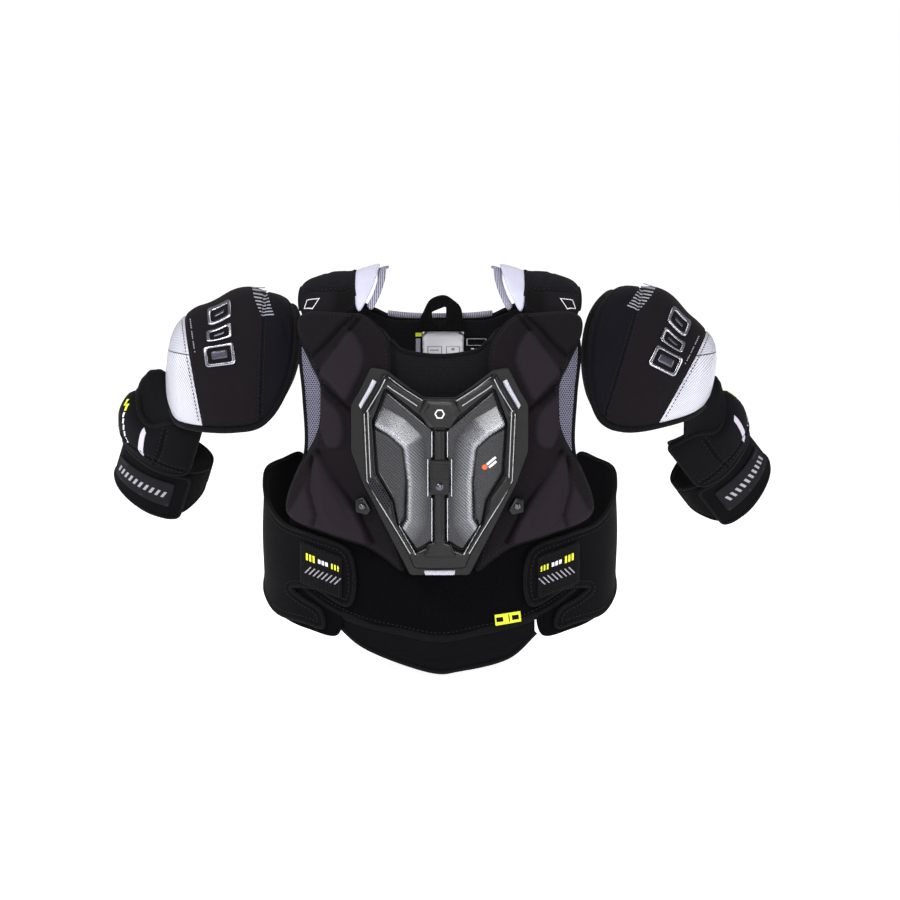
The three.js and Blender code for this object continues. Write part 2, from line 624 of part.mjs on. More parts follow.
buildFront();
buildSternum();
buildWaist();
buildBack();
buildCollar();
buildHangLoop();
buildYokes();
buildCaps();
buildArms();

export default group;
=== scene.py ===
"""Hockey shoulder pads: the detailed look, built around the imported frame.

Lengths in this file are millimetres until mesh_object() turns them into metres.
X is to the wearer's left, Y to the back, Z up.
"""
import math

import bmesh
import bpy
import numpy as np
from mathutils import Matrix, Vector
from mathutils.geometry import delaunay_2d_cdt


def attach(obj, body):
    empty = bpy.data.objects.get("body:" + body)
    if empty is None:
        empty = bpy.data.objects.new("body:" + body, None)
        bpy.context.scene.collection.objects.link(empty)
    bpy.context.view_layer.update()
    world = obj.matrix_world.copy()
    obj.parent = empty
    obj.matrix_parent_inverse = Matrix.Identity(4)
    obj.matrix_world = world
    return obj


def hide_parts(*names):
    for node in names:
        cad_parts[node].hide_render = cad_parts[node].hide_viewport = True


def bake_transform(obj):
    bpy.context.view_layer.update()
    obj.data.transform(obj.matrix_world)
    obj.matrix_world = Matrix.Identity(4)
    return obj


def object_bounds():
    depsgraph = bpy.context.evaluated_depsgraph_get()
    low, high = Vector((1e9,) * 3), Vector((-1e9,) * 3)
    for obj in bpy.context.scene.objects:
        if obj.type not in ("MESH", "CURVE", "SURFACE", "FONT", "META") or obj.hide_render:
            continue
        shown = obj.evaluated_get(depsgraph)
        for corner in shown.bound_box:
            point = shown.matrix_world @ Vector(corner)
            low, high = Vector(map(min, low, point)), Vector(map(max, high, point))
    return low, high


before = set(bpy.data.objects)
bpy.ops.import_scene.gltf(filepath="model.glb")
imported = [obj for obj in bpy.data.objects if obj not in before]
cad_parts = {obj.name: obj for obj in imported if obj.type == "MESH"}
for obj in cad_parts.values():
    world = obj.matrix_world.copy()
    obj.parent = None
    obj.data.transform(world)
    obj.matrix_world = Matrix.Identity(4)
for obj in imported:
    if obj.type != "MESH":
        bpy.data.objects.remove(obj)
CAD_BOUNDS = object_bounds()
MM = 0.001

# ---------------------------------------------------------------- body surfaces, as in the CAD

HALF_WIDTH, FRONT_DEPTH, BACK_DEPTH, POWER = 168.0, 100.0, 85.0, 2.5
ARCH_FOOT, RIDGE_TOP, RIDGE_X, RIDGE_FALL = -90.0, 12.0, 84.0, 0.3


def width_factor(x):
    return (1 - np.minimum(1, np.abs(x) / HALF_WIDTH) ** POWER) ** (1 / POWER)


def ridge(x):
    return RIDGE_TOP - RIDGE_FALL * (np.abs(x) - RIDGE_X)


def torso_base(x, z, face):
    depth = FRONT_DEPTH if face < 0 else BACK_DEPTH
    rise = np.clip((z - ARCH_FOOT) / (ridge(x) - ARCH_FOOT), 0, 0.999)
    y = face * depth * width_factor(x) * np.sqrt(1 - rise**2)
    return np.stack([x, y, z], axis=-1)


def torso(face):
    """Front (face -1) or back (face 1) of the torso: x, z and an outward offset."""

    def place(u, v, off):
        x, z = np.asarray(u, float), np.asarray(v, float)
        across = torso_base(x + 0.5, z, face) - torso_base(x - 0.5, z, face)
        up = torso_base(x, z + 0.5, face) - torso_base(x, z - 0.5, face)
        normal = np.cross(across, up)
        normal /= np.linalg.norm(normal, axis=-1, keepdims=True)
        normal *= np.sign(normal[..., 1:2] * face)
        return torso_base(x, z, face) + normal * np.asarray(off, float)[..., None]

    return place


def arch(sign):
    """Over one shoulder: x from the middle, y as the arc length back from the front foot."""

    def place(u, v, off):
        x, turn = np.asarray(u, float), np.asarray(v, float) / ARC_MM
        depth = np.where(turn < math.pi / 2, FRONT_DEPTH, BACK_DEPTH)
        reach = depth * width_factor(x)
        rise = ridge(x) - ARCH_FOOT
        off = np.asarray(off, float)
        ny, nz = -np.cos(turn) / reach, np.sin(turn) / rise
        size = np.hypot(ny, nz)
        y = -reach * np.cos(turn) + ny / size * off
        z = ARCH_FOOT + rise * np.sin(turn) + nz / size * off
        return np.stack([sign * x, y, z], axis=-1)

    return place


ARC_MM = 95.0  # one radian of the arch, near enough


def plan_walk():
    a = np.linspace(0, math.pi, 721)
    depth = np.where(a < math.pi / 2, FRONT_DEPTH, BACK_DEPTH)
    s = np.abs(np.sin(a)) ** (2 / POWER)
    c = np.abs(np.cos(a)) ** (2 / POWER) * np.sign(np.cos(a))
    xy = np.stack([HALF_WIDTH * s, -depth * c], axis=-1)
    steps = np.linalg.norm(np.diff(xy, axis=0), axis=1)
    return np.concatenate([[0], np.cumsum(steps)]), xy


WALK, WALK_XY = plan_walk()


def waist(sign):
    """Round one side of the waist: u is the walk from the front middle, v the height."""

    def at(u):
        return np.stack([np.interp(u, WALK, WALK_XY[:, 0]), np.interp(u, WALK, WALK_XY[:, 1])], axis=-1)

    def place(u, v, off):
        u, v, off = np.broadcast_arrays(np.asarray(u, float), np.asarray(v, float), np.asarray(off, float))
        here, step = at(u), at(u + 2) - at(u - 2)
        step = step / np.linalg.norm(step, axis=-1, keepdims=True)
        x = here[..., 0] + off * step[..., 1]
        y = here[..., 1] - off * step[..., 0]
        return np.stack([sign * x, y, v], axis=-1)

    return place


SIDES = {
    "right": {"sign": -1, "cap": (208, 0, -67), "droop": 11, "arm": 72},
    "left": {"sign": 1, "cap": (212, 0, -70), "droop": 30, "arm": 52},
}
CAP_INNER, CAP_OUT, CAP_DEEP, CAP_HIGH, CAP_SINK = 100.0, 70.0, 80.0, 130.0, 62.0
CAP_PLAN, CAP_SIDE = 3.4, 2.3
CAP_RIM = {
    "right": [(0, 31), (25, 36), (40, 48), (50, 63), (60, 78), (72, 89), (80, 92), (100, 90), (120, 85),
              (140, 79), (155, 66), (168, 57), (180, 53)],
    "left": [(0, 31), (25, 36), (40, 53), (50, 67), (60, 82), (72, 94), (80, 97), (90, 95), (100, 90),
             (120, 73), (140, 59), (155, 52), (180, 49)],
}
CAP_SAG = 11.0
ARM_START, ARM_BACK, ARM_SQUASH = (57, 2, -42), 24, 0.82


def turn_y(p, degrees):
    a = math.radians(degrees)
    x, z = p[..., 0].copy(), p[..., 2].copy()
    return np.stack([x * math.cos(a) + z * math.sin(a), p[..., 1], -x * math.sin(a) + z * math.cos(a)],
                    axis=-1)


def turn_x(p, degrees):
    a = math.radians(degrees)
    y, z = p[..., 1].copy(), p[..., 2].copy()
    return np.stack([p[..., 0], y * math.cos(a) - z * math.sin(a), y * math.sin(a) + z * math.cos(a)],
                    axis=-1)


def cap_to_body(p, side):
    """From the cap's own frame to the body. The soft dome sags a little at the top of its outer side."""
    s = SIDES[side]
    high = np.clip((p[..., 2] - 10) / 40, 0, 1)
    sag = CAP_SAG * high * high * (3 - 2 * high) * np.exp(-((p[..., 0] - 12) / 24) ** 2)
    p = np.stack([p[..., 0], p[..., 1], p[..., 2] - sag], axis=-1)
    q = turn_y(p, s["droop"]) + np.array([s["cap"][0], 0, s["cap"][2]])
    return q * np.array([s["sign"], 1, 1])


def arm_to_body(p, side):
    s = SIDES[side]
    start = turn_y(np.array(ARM_START, float), s["droop"]) + np.array(s["cap"], float)
    q = turn_y(turn_x(p, ARM_BACK), s["arm"] - 90) + start
    return q * np.array([s["sign"], 1, 1])


def cap_rim(bearing, side):
    """The rim's fall from the crown, with the table's corners eased."""
    table = CAP_RIM[side]
    total = 0.0
    for ease in RIM_EASE:
        turned = bearing + ease
        degrees = np.abs(np.degrees(np.arctan2(np.sin(turned), np.cos(turned))))
        total = total + np.interp(degrees, [a for a, _ in table], [b for _, b in table])
    return np.radians(total / len(RIM_EASE))


RIM_EASE = np.radians([-6, -3, 0, 3, 6])


def cap_local(bearing, fall, off):
    c, s = np.cos(bearing), np.sin(bearing)
    half = np.where(c > 0, CAP_INNER, CAP_OUT)
    plan = (np.abs(c / half) ** CAP_PLAN + np.abs(s / CAP_DEEP) ** CAP_PLAN) ** (1 / CAP_PLAN)
    r = ((plan * np.sin(fall)) ** CAP_SIDE + np.abs(np.cos(fall) / CAP_HIGH) ** CAP_SIDE) ** (-1 / CAP_SIDE)
    at = np.stack([-np.sin(fall) * c * r, -np.sin(fall) * s * r, np.cos(fall) * r], axis=-1)
    pull = at * np.array([1, 1, 0.55])
    pull = pull / np.linalg.norm(pull, axis=-1, keepdims=True)
    return at + pull * np.asarray(off, float)[..., None] + np.array([0, 0, -CAP_SINK])


def cap_front_local(u, v):
    """The point of the cap's outer surface in front of (u, v)."""
    half = np.where(u < 0, CAP_INNER, CAP_OUT)
    up = np.clip(np.abs(v + CAP_SINK) / CAP_HIGH, 0, 0.999)
    left = (1 - up**CAP_SIDE) ** (CAP_PLAN / CAP_SIDE) - (np.abs(u) / half) ** CAP_PLAN
    y = -CAP_DEEP * np.clip(left, 1e-4, None) ** (1 / CAP_PLAN)
    return np.stack([u, y, v], axis=-1)


def cap_front(side):
    def place(u, v, off):
        u, v, off = np.broadcast_arrays(np.asarray(u, float), np.asarray(v, float), np.asarray(off, float))
        across = cap_front_local(u + 0.5, v) - cap_front_local(u - 0.5, v)
        up = cap_front_local(u, v + 0.5) - cap_front_local(u, v - 0.5)
        normal = np.cross(across, up)
        normal /= np.linalg.norm(normal, axis=-1, keepdims=True)
        normal *= np.where(normal[..., 1:2] > 0, -1, 1)
        return cap_to_body(cap_front_local(u, v) + normal * off[..., None], side)

    return place


def arm(side):
    """Round the arm: u is arc length at ARM_ARC from the outer side to the front, v minus the way down."""

    def place(u, v, off):
        u, v, off = np.broadcast_arrays(np.asarray(u, float), np.asarray(v, float), np.asarray(off, float))
        a = u / ARM_ARC
        return arm_to_body(np.stack([off * np.cos(a), -off * np.sin(a) * ARM_SQUASH, v], axis=-1), side)

    return place


ARM_ARC = 46.0  # millimetres of arc for one radian round the arm


# ---------------------------------------------------------------- outlines

def mirrored(points):
    return [(-x, z) for x, z in points][::-1]


def dense(points, step=3.0, closed=True):
    """Points at most step apart along straight edges."""
    p = np.array(points, float)
    nxt = np.roll(p, -1, axis=0) if closed else p[1:]
    out = []
    for a, b in zip(p if closed else p[:-1], nxt):
        n = max(1, int(math.ceil(np.linalg.norm(b - a) / step)))
        out += [a + (b - a) * i / n for i in range(n)]
    if not closed:
        out.append(p[-1])
    return np.array(out)


def soft(points, step=3.0, closed=True):
    """A smooth curve through the points (centripetal Catmull-Rom)."""
    p = np.array(points, float)
    n = len(p)
    if closed:
        ring = [p[(i) % n] for i in range(-1, n + 2)]
        spans = n
    else:
        ring = [2 * p[0] - p[1], *p, 2 * p[-1] - p[-2]]
        spans = n - 1
    out = []
    for i in range(spans):
        p0, p1, p2, p3 = ring[i:i + 4]
        t0 = 0.0
        t1 = t0 + max(1e-6, np.linalg.norm(p1 - p0)) ** 0.5
        t2 = t1 + max(1e-6, np.linalg.norm(p2 - p1)) ** 0.5
        t3 = t2 + max(1e-6, np.linalg.norm(p3 - p2)) ** 0.5
        count = max(1, int(math.ceil(np.linalg.norm(p2 - p1) / step)))
        for k in range(count):
            t = t1 + (t2 - t1) * k / count
            a1 = (t1 - t) / (t1 - t0) * p0 + (t - t0) / (t1 - t0) * p1
            a2 = (t2 - t) / (t2 - t1) * p1 + (t - t1) / (t2 - t1) * p2
            a3 = (t3 - t) / (t3 - t2) * p2 + (t - t2) / (t3 - t2) * p3
            b1 = (t2 - t) / (t2 - t0) * a1 + (t - t0) / (t2 - t0) * a2
            b2 = (t3 - t) / (t3 - t1) * a2 + (t - t1) / (t3 - t1) * a3
            out.append((t2 - t) / (t2 - t1) * b1 + (t - t1) / (t2 - t1) * b2)
    if not closed:
        out.append(p[-1])
    return np.array(out)


def rounded(points, radius, steps=4):
    """A polygon with its corners cut to arcs."""
    p = np.array(points, float)
    out = []
    for i in range(len(p)):
        a, b, c = p[i - 1], p[i], p[(i + 1) % len(p)]
        u, w = a - b, c - b
        lu, lw = np.linalg.norm(u), np.linalg.norm(w)
        cut = min(radius, lu * 0.45, lw * 0.45)
        s, e = b + u / lu * cut, b + w / lw * cut
        for k in range(steps + 1):
            t = k / steps
            out.append((1 - t) ** 2 * s + 2 * t * (1 - t) * b + t**2 * e)
    return np.array(out)


def loop_area(p):
    q = np.roll(p, -1, axis=0)
    return 0.5 * np.sum(p[:, 0] * q[:, 1] - q[:, 0] * p[:, 1])


def distance(points, line, closed=False):
    """Distance of each point to a polyline."""
    line = np.array(line, float)
    a = line if closed else line[:-1]
    b = np.roll(line, -1, axis=0) if closed else line[1:]
    best = np.full(len(points), 1e9)
    for p, q in zip(a, b):
        d = q - p
        size = max(1e-9, float(d @ d))
        t = np.clip(((points - p) @ d) / size, 0, 1)
        best = np.minimum(best, np.linalg.norm(points - (p + t[:, None] * d), axis=1))
    return best


def inside(points, ring):
    x, y = points[:, 0], points[:, 1]
    hit = np.zeros(len(points), bool)
    p = np.array(ring, float)
    for (x0, y0), (x1, y1) in zip(p, np.roll(p, -1, axis=0)):
        if y0 == y1:
            continue
        cross = (y0 > y) != (y1 > y)
        hit ^= cross & (x < (x1 - x0) * (y - y0) / (y1 - y0) + x0)
    return hit


def smooth(t):
    t = np.clip(t, 0, 1)
    return t * t * (3 - 2 * t)


# ---------------------------------------------------------------- height features

def crown(edge, reach, power=2.0):
    """0 at the edge, 1 from reach inward, rounded like a filled pad."""
    t = np.clip(edge / reach, 0, 1)
    return (1 - (1 - t) ** power) ** (1 / power)


def channel(line, width, depth, closed=False):
    return lambda p: -depth * np.exp(-(distance(p, line, closed) / width) ** 2)


def ridge_line(line, width, height, closed=False):
    return lambda p: height * np.exp(-(distance(p, line, closed) / width) ** 4)


def raised(ring, slope, height):
    """A plateau with sloping sides inside a closed ring."""

    def at(p):
        d = distance(p, ring, True)
        return np.where(inside(p, ring), height * smooth(d / slope), 0)

    return at


# ---------------------------------------------------------------- meshes

def mesh_object(name, verts, faces, material, fab=None, smooth_shade=True):
    mesh = bpy.data.meshes.new(name)
    mesh.from_pydata((np.asarray(verts) * MM).tolist(), [], [list(map(int, f)) for f in faces])
    if fab is not None:
        layer = mesh.attributes.new("fab", "FLOAT_VECTOR", "POINT")
        flat = np.zeros((len(verts), 3))
        flat[:, :np.shape(fab)[1]] = np.asarray(fab)
        layer.data.foreach_set("vector", flat.astype(np.float32).ravel())
    mesh.validate()
    obj = bpy.data.objects.new(name, mesh)
    bpy.context.scene.collection.objects.link(obj)
    for m in material if isinstance(material, (list, tuple)) else [material]:
        mesh.materials.append(m)
    bm = bmesh.new()
    bm.from_mesh(mesh)
    bmesh.ops.recalc_face_normals(bm, faces=bm.faces)
    bm.to_mesh(mesh)
    bm.free()
    if smooth_shade:
        mesh.polygons.foreach_set("use_smooth", [True] * len(mesh.polygons))
    return obj


def lattice(ring, step):
    low, high = ring.min(0), ring.max(0)
    rows = np.arange(low[1], high[1], step * 0.866)
    points = []
    for i, z in enumerate(rows):
        xs = np.arange(low[0] + (i % 2) * step / 2, high[0], step)
        points += [(x, z) for x in xs]
    return np.array(points)


def insets(ring, depths, holes=()):
    """Rings of points a little inside the outline, so that its edge can be rounded."""
    out = []
    for loop, sign in [(ring, 1)] + [(h, -1) for h in holes]:
        way = np.sign(loop_area(loop)) * sign
        t = np.roll(loop, -1, axis=0) - np.roll(loop, 1, axis=0)
        t /= np.maximum(1e-9, np.linalg.norm(t, axis=1, keepdims=True))
        normal = np.stack([-t[:, 1], t[:, 0]], axis=-1) * way
        for depth in depths:
            out.append((loop + normal * depth, depth))
    return out


def pad(name, ring, place, heights, low, material, step=4.0, rims=(0.7, 1.8, 3.6), edge_at=0.35,
        holes=(), features=(), reach=6.0, power=2.0, body=None, puff=0.0, lines=()):
    """A closed pad or plate: an outline mapped on a surface, with a crowned and detailed face.

    heights is the crowned face's offset, low the back's; both meet at the rim, which lies
    edge_at of the way between them. features add height; puff swells the middle further.
    """
    ring = np.asarray(ring, float)
    holes = [np.asarray(h, float) for h in holes]
    loops = [ring, *holes]
    points = [p for l in loops for p in l]
    edges, start = [], 0
    for l in loops:
        n = len(l)
        edges += [(start + i, start + (i + 1) % n) for i in range(n)]
        start += n

    def edge_distance(p):
        return np.min([distance(p, l, True) for l in loops], axis=0)

    def within(p):
        keep = inside(p, ring)
        for h in holes:
            keep &= ~inside(p, h)
        return keep

    inner = []
    for candidates, depth in insets(ring, rims, holes):
        keep = within(candidates) & (edge_distance(candidates) > depth * 0.85)
        inner.append(candidates[keep])
    for line in lines:
        line = np.asarray(line, float)
        inner.append(line[within(line) & (edge_distance(line) > rims[-1] if rims else 1)])
    grid = lattice(ring, step)
    grid = grid[within(grid)]
    grid = grid[edge_distance(grid) > (rims[-1] if rims else 0) + step * 0.45]
    for line in lines:
        grid = grid[distance(grid, line) > step * 0.45]
    inner.append(grid)
    points += [p for block in inner for p in block]
    flat = [Vector((float(x), float(y))) for x, y in points]
    verts, _, faces, *_ = delaunay_2d_cdt(flat, edges, [], 1 if not holes else 0, 1e-4)
    uv = np.array([(v.x, v.y) for v in verts])
    faces = np.array([f for f in faces if len(f) == 3])
    if holes:
        middle = uv[faces].mean(axis=1)
        faces = faces[within(middle)]
    used = np.unique(faces)
    remap = -np.ones(len(uv), int)
    remap[used] = np.arange(len(used))
    uv, faces = uv[used], remap[faces]
    edge = edge_distance(uv)
    rim = edge < 1e-3
    base = low + (heights - low) * edge_at
    rise = crown(edge, reach, power)
    top = base + (heights - base) * rise
    if puff:
        top += puff * smooth(edge / (reach * 4))
    detail = np.zeros(len(uv))
    for f in features:
        detail += f(uv)
    relief = detail * smooth(edge / max(1.0, reach * 0.5))
    top += relief
    back = base + (low - base) * crown(edge, min(reach, 3.0), power)
    top = np.maximum(top, back + 0.4 * ~rim)
    front_pts = place(uv[:, 0], uv[:, 1], top)
    back_pts = place(uv[:, 0], uv[:, 1], back)
    index = np.arange(len(uv))
    other = index.copy()
    free = np.flatnonzero(~rim)
    other[free] = len(uv) + np.arange(len(free))
    verts = np.concatenate([front_pts, back_pts[free]])
    # The feature height rides along in the cloth coordinates; some materials paint shade in sunk channels and
    # a highlight on raised shapes from it.
    fab = np.concatenate([np.column_stack([uv, relief]), np.column_stack([uv[free], np.zeros(len(free))])])
    all_faces = [tuple(f) for f in faces] + [tuple(other[f[::-1]]) for f in faces]
    obj = mesh_object(name, verts, all_faces, material, fab)
    FACES[name] = (uv, top)
    if body:
        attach(obj, body)
    return obj


FACES = {}  # what height_of() reads: for each pad, its places on the cloth and their heights


def sweep(name, path, normals, section, material, closed=False):
    """A tape, cord or binding: section is (across, out) points, swept along a path."""
    path = np.asarray(path, float)
    normals = np.asarray(normals, float)
    n, k = len(path), len(section)
    if closed:
        tangent = np.roll(path, -1, axis=0) - np.roll(path, 1, axis=0)
    else:
        tangent = np.gradient(path, axis=0)
    tangent /= np.maximum(1e-9, np.linalg.norm(tangent, axis=1, keepdims=True))
    across = np.cross(tangent, normals)
    across /= np.maximum(1e-9, np.linalg.norm(across, axis=1, keepdims=True))
    out = np.cross(across, tangent)
    length = np.concatenate([[0], np.cumsum(np.linalg.norm(np.diff(path, axis=0), axis=1))])
    verts, fab = [], []
    for i in range(n):
        for j, (a, o) in enumerate(section):
            verts.append(path[i] + across[i] * a + out[i] * o)
            fab.append((length[i], a))
    faces = []
    for i in range(n if closed else n - 1):
        for j in range(k):
            a, b = i * k + j, ((i + 1) % n) * k + j
            c, d = ((i + 1) % n) * k + (j + 1) % k, i * k + (j + 1) % k
            faces.append((a, b, c, d))
    if not closed:
        faces += [tuple(range(k))[::-1], tuple((n - 1) * k + j for j in range(k))]
    return mesh_object(name, verts, faces, material, fab)


def oval(width, height, count=8, lift=0.0):
    """A round or flattened section."""
    turns = [2 * math.pi * i / count for i in range(count)]
    return [(width / 2 * math.cos(a), lift + height / 2 * math.sin(a)) for a in turns]


def surface_line(place, line, off):
    """A path on a surface, with its outward directions."""
    line = np.asarray(line, float)
    off = np.full(len(line), off) if np.isscalar(off) else np.asarray(off, float)
    path = place(line[:, 0], line[:, 1], off)
    normal = place(line[:, 0], line[:, 1], off + 1) - path
    return path, normal / np.linalg.norm(normal, axis=1, keepdims=True)


def tape_on(name, place, line, off, section, material, closed=False, body=None):
    path, normal = surface_line(place, line, off)
    obj = sweep(name, path, normal, section, material, closed)
    if body:
        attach(obj, body)
    return obj


def even(path, normals, spacing):
    """The path and its normals sampled at even steps."""
    seg = np.linalg.norm(np.diff(path, axis=0), axis=1)
    length = np.concatenate([[0], np.cumsum(seg)])
    count = max(2, int(length[-1] / spacing))
    s = np.linspace(0, length[-1], count)
    p = np.stack([np.interp(s, length, path[:, i]) for i in range(3)], axis=-1)
    n = np.stack([np.interp(s, length, normals[:, i]) for i in range(3)], axis=-1)
    return p, n / np.linalg.norm(n, axis=1, keepdims=True)


def stitches(name, lines, material, body, length=2.6, gap=1.6, width=0.7, height=0.5):
    """Short thread dashes that lie along seam lines. lines is a list of (path, normals)."""
    verts, faces = [], []
    for path, normals in lines:
        if len(path) < 2:
            continue
        p, n = even(np.asarray(path), np.asarray(normals), length + gap)
        tangent = np.gradient(p, axis=0)
        tangent /= np.maximum(1e-9, np.linalg.norm(tangent, axis=1, keepdims=True))
        side = np.cross(tangent, n)
        for i in range(len(p)):
            start = len(verts)
            for along, wide, up in ((-1, 0.5, -0.2), (-0.5, 1, 1), (0.5, 1, 1), (1, 0.5, -0.2)):
                for s in (-1, 1):
                    point = p[i] + tangent[i] * along * length / 2 + side[i] * s * wide * width / 2
                    verts.append(point + n[i] * up * height)
                    verts.append(point - n[i] * height * 0.8)
            for j in range(3):
                a, b = start + j * 4, start + (j + 1) * 4
                faces += [(a, b, b + 2, a + 2), (a + 1, a + 3, b + 3, b + 1), (a, a + 1, b + 1, b),
                          (a + 2, b + 2, b + 3, a + 3)]
            faces += [(start, start + 2, start + 3, start + 1),
                      (start + 12, start + 13, start + 15, start + 14)]
    obj = mesh_object(name, verts, faces, material)
    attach(obj, body)
    return obj


def height_of(name):
    """The crowned face's offset of a pad made earlier, at any place of its outline."""
    uv, top = FACES[name]

    def at(u, v):
        spots = np.stack([np.ravel(u), np.ravel(v)], axis=-1)
        out = np.empty(len(spots))
        for i, spot in enumerate(spots):
            d = np.sum((uv - spot) ** 2, axis=1)
            near = np.argpartition(d, 4)[:4]
            weight = 1 / (d[near] + 0.05)
            out[i] = np.sum(top[near] * weight) / np.sum(weight)
        return out.reshape(np.shape(u))

    return at


def decal(name, rings, place, off, material, body, thick=0.35, step=2.5):
    """Thin raised prints or badges: flat rings laid on a surface. off is a number or height_of(...)."""
    verts, faces, fab = [], [], []
    for ring in rings:
        outline = dense(ring, step)
        low, high = outline.min(0), outline.max(0)
        grid = lattice(outline, step * 1.6) if min(high - low) > step * 3 else np.zeros((0, 2))
        if len(grid):
            grid = grid[inside(grid, outline)]
            grid = grid[distance(grid, outline, True) > step * 0.7]
        n = len(outline)
        flat = [Vector((float(x), float(y))) for x, y in [*outline, *grid]]
        spots, _, tris, *_ = delaunay_2d_cdt(flat, [(i, (i + 1) % n) for i in range(n)], [], 1, 1e-4)
        uv = np.array([(s.x, s.y) for s in spots])
        base = off(uv[:, 0], uv[:, 1]) if callable(off) else np.full(len(uv), float(off))
        start, count = len(verts), len(uv)
        verts += list(place(uv[:, 0], uv[:, 1], base + thick))
        verts += list(place(uv[:, 0], uv[:, 1], base - 0.5))
        fab += list(uv) * 2
        edge_count = {}
        for t in tris:
            a, b, c = t
            faces.append((start + a, start + b, start + c))
            faces.append((start + count + c, start + count + b, start + count + a))
            for e in ((a, b), (b, c), (c, a)):
                edge_count[e] = edge_count.get(e, 0) + 1
        for a, b in edge_count:
            if (b, a) not in edge_count:
                faces.append((start + b, start + a, start + count + a, start + count + b))
    obj = mesh_object(name, verts, faces, material, np.array(fab), smooth_shade=False)
    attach(obj, body)
    return obj


def bar(u, v, length, width, degrees, slant=0.0):
    """A parallelogram centred at (u, v), its long side turned by degrees."""
    a = math.radians(degrees)
    corners = [(-length / 2, -width / 2), (length / 2, -width / 2), (length / 2, width / 2),
               (-length / 2, width / 2)]
    out = []
    for x, y in corners:
        x += y * slant
        out.append((u + x * math.cos(a) - y * math.sin(a), v + x * math.sin(a) + y * math.cos(a)))
    return out


def frame_ring(ring, width):
    """The four or more strips of an outline drawn with a pen of that width."""
    out = []
    p = np.array(ring, float)
    centre = p.mean(0)
    inner = centre + (p - centre) * (1 - width / np.mean(np.linalg.norm(p - centre, axis=1)))
    for i in range(len(p)):
        j = (i + 1) % len(p)
        out.append([tuple(p[i]), tuple(p[j]), tuple(inner[j]), tuple(inner[i])])
    return out


# ---------------------------------------------------------------- materials

def rgb(red, green, blue):
    """Linear colour from display values of 0 to 255."""
    out = []
    for c in (red, green, blue):
        c = c / 255
        out.append(c / 12.92 if c <= 0.04045 else ((c + 0.055) / 1.055) ** 2.4)
    return (*out, 1.0)


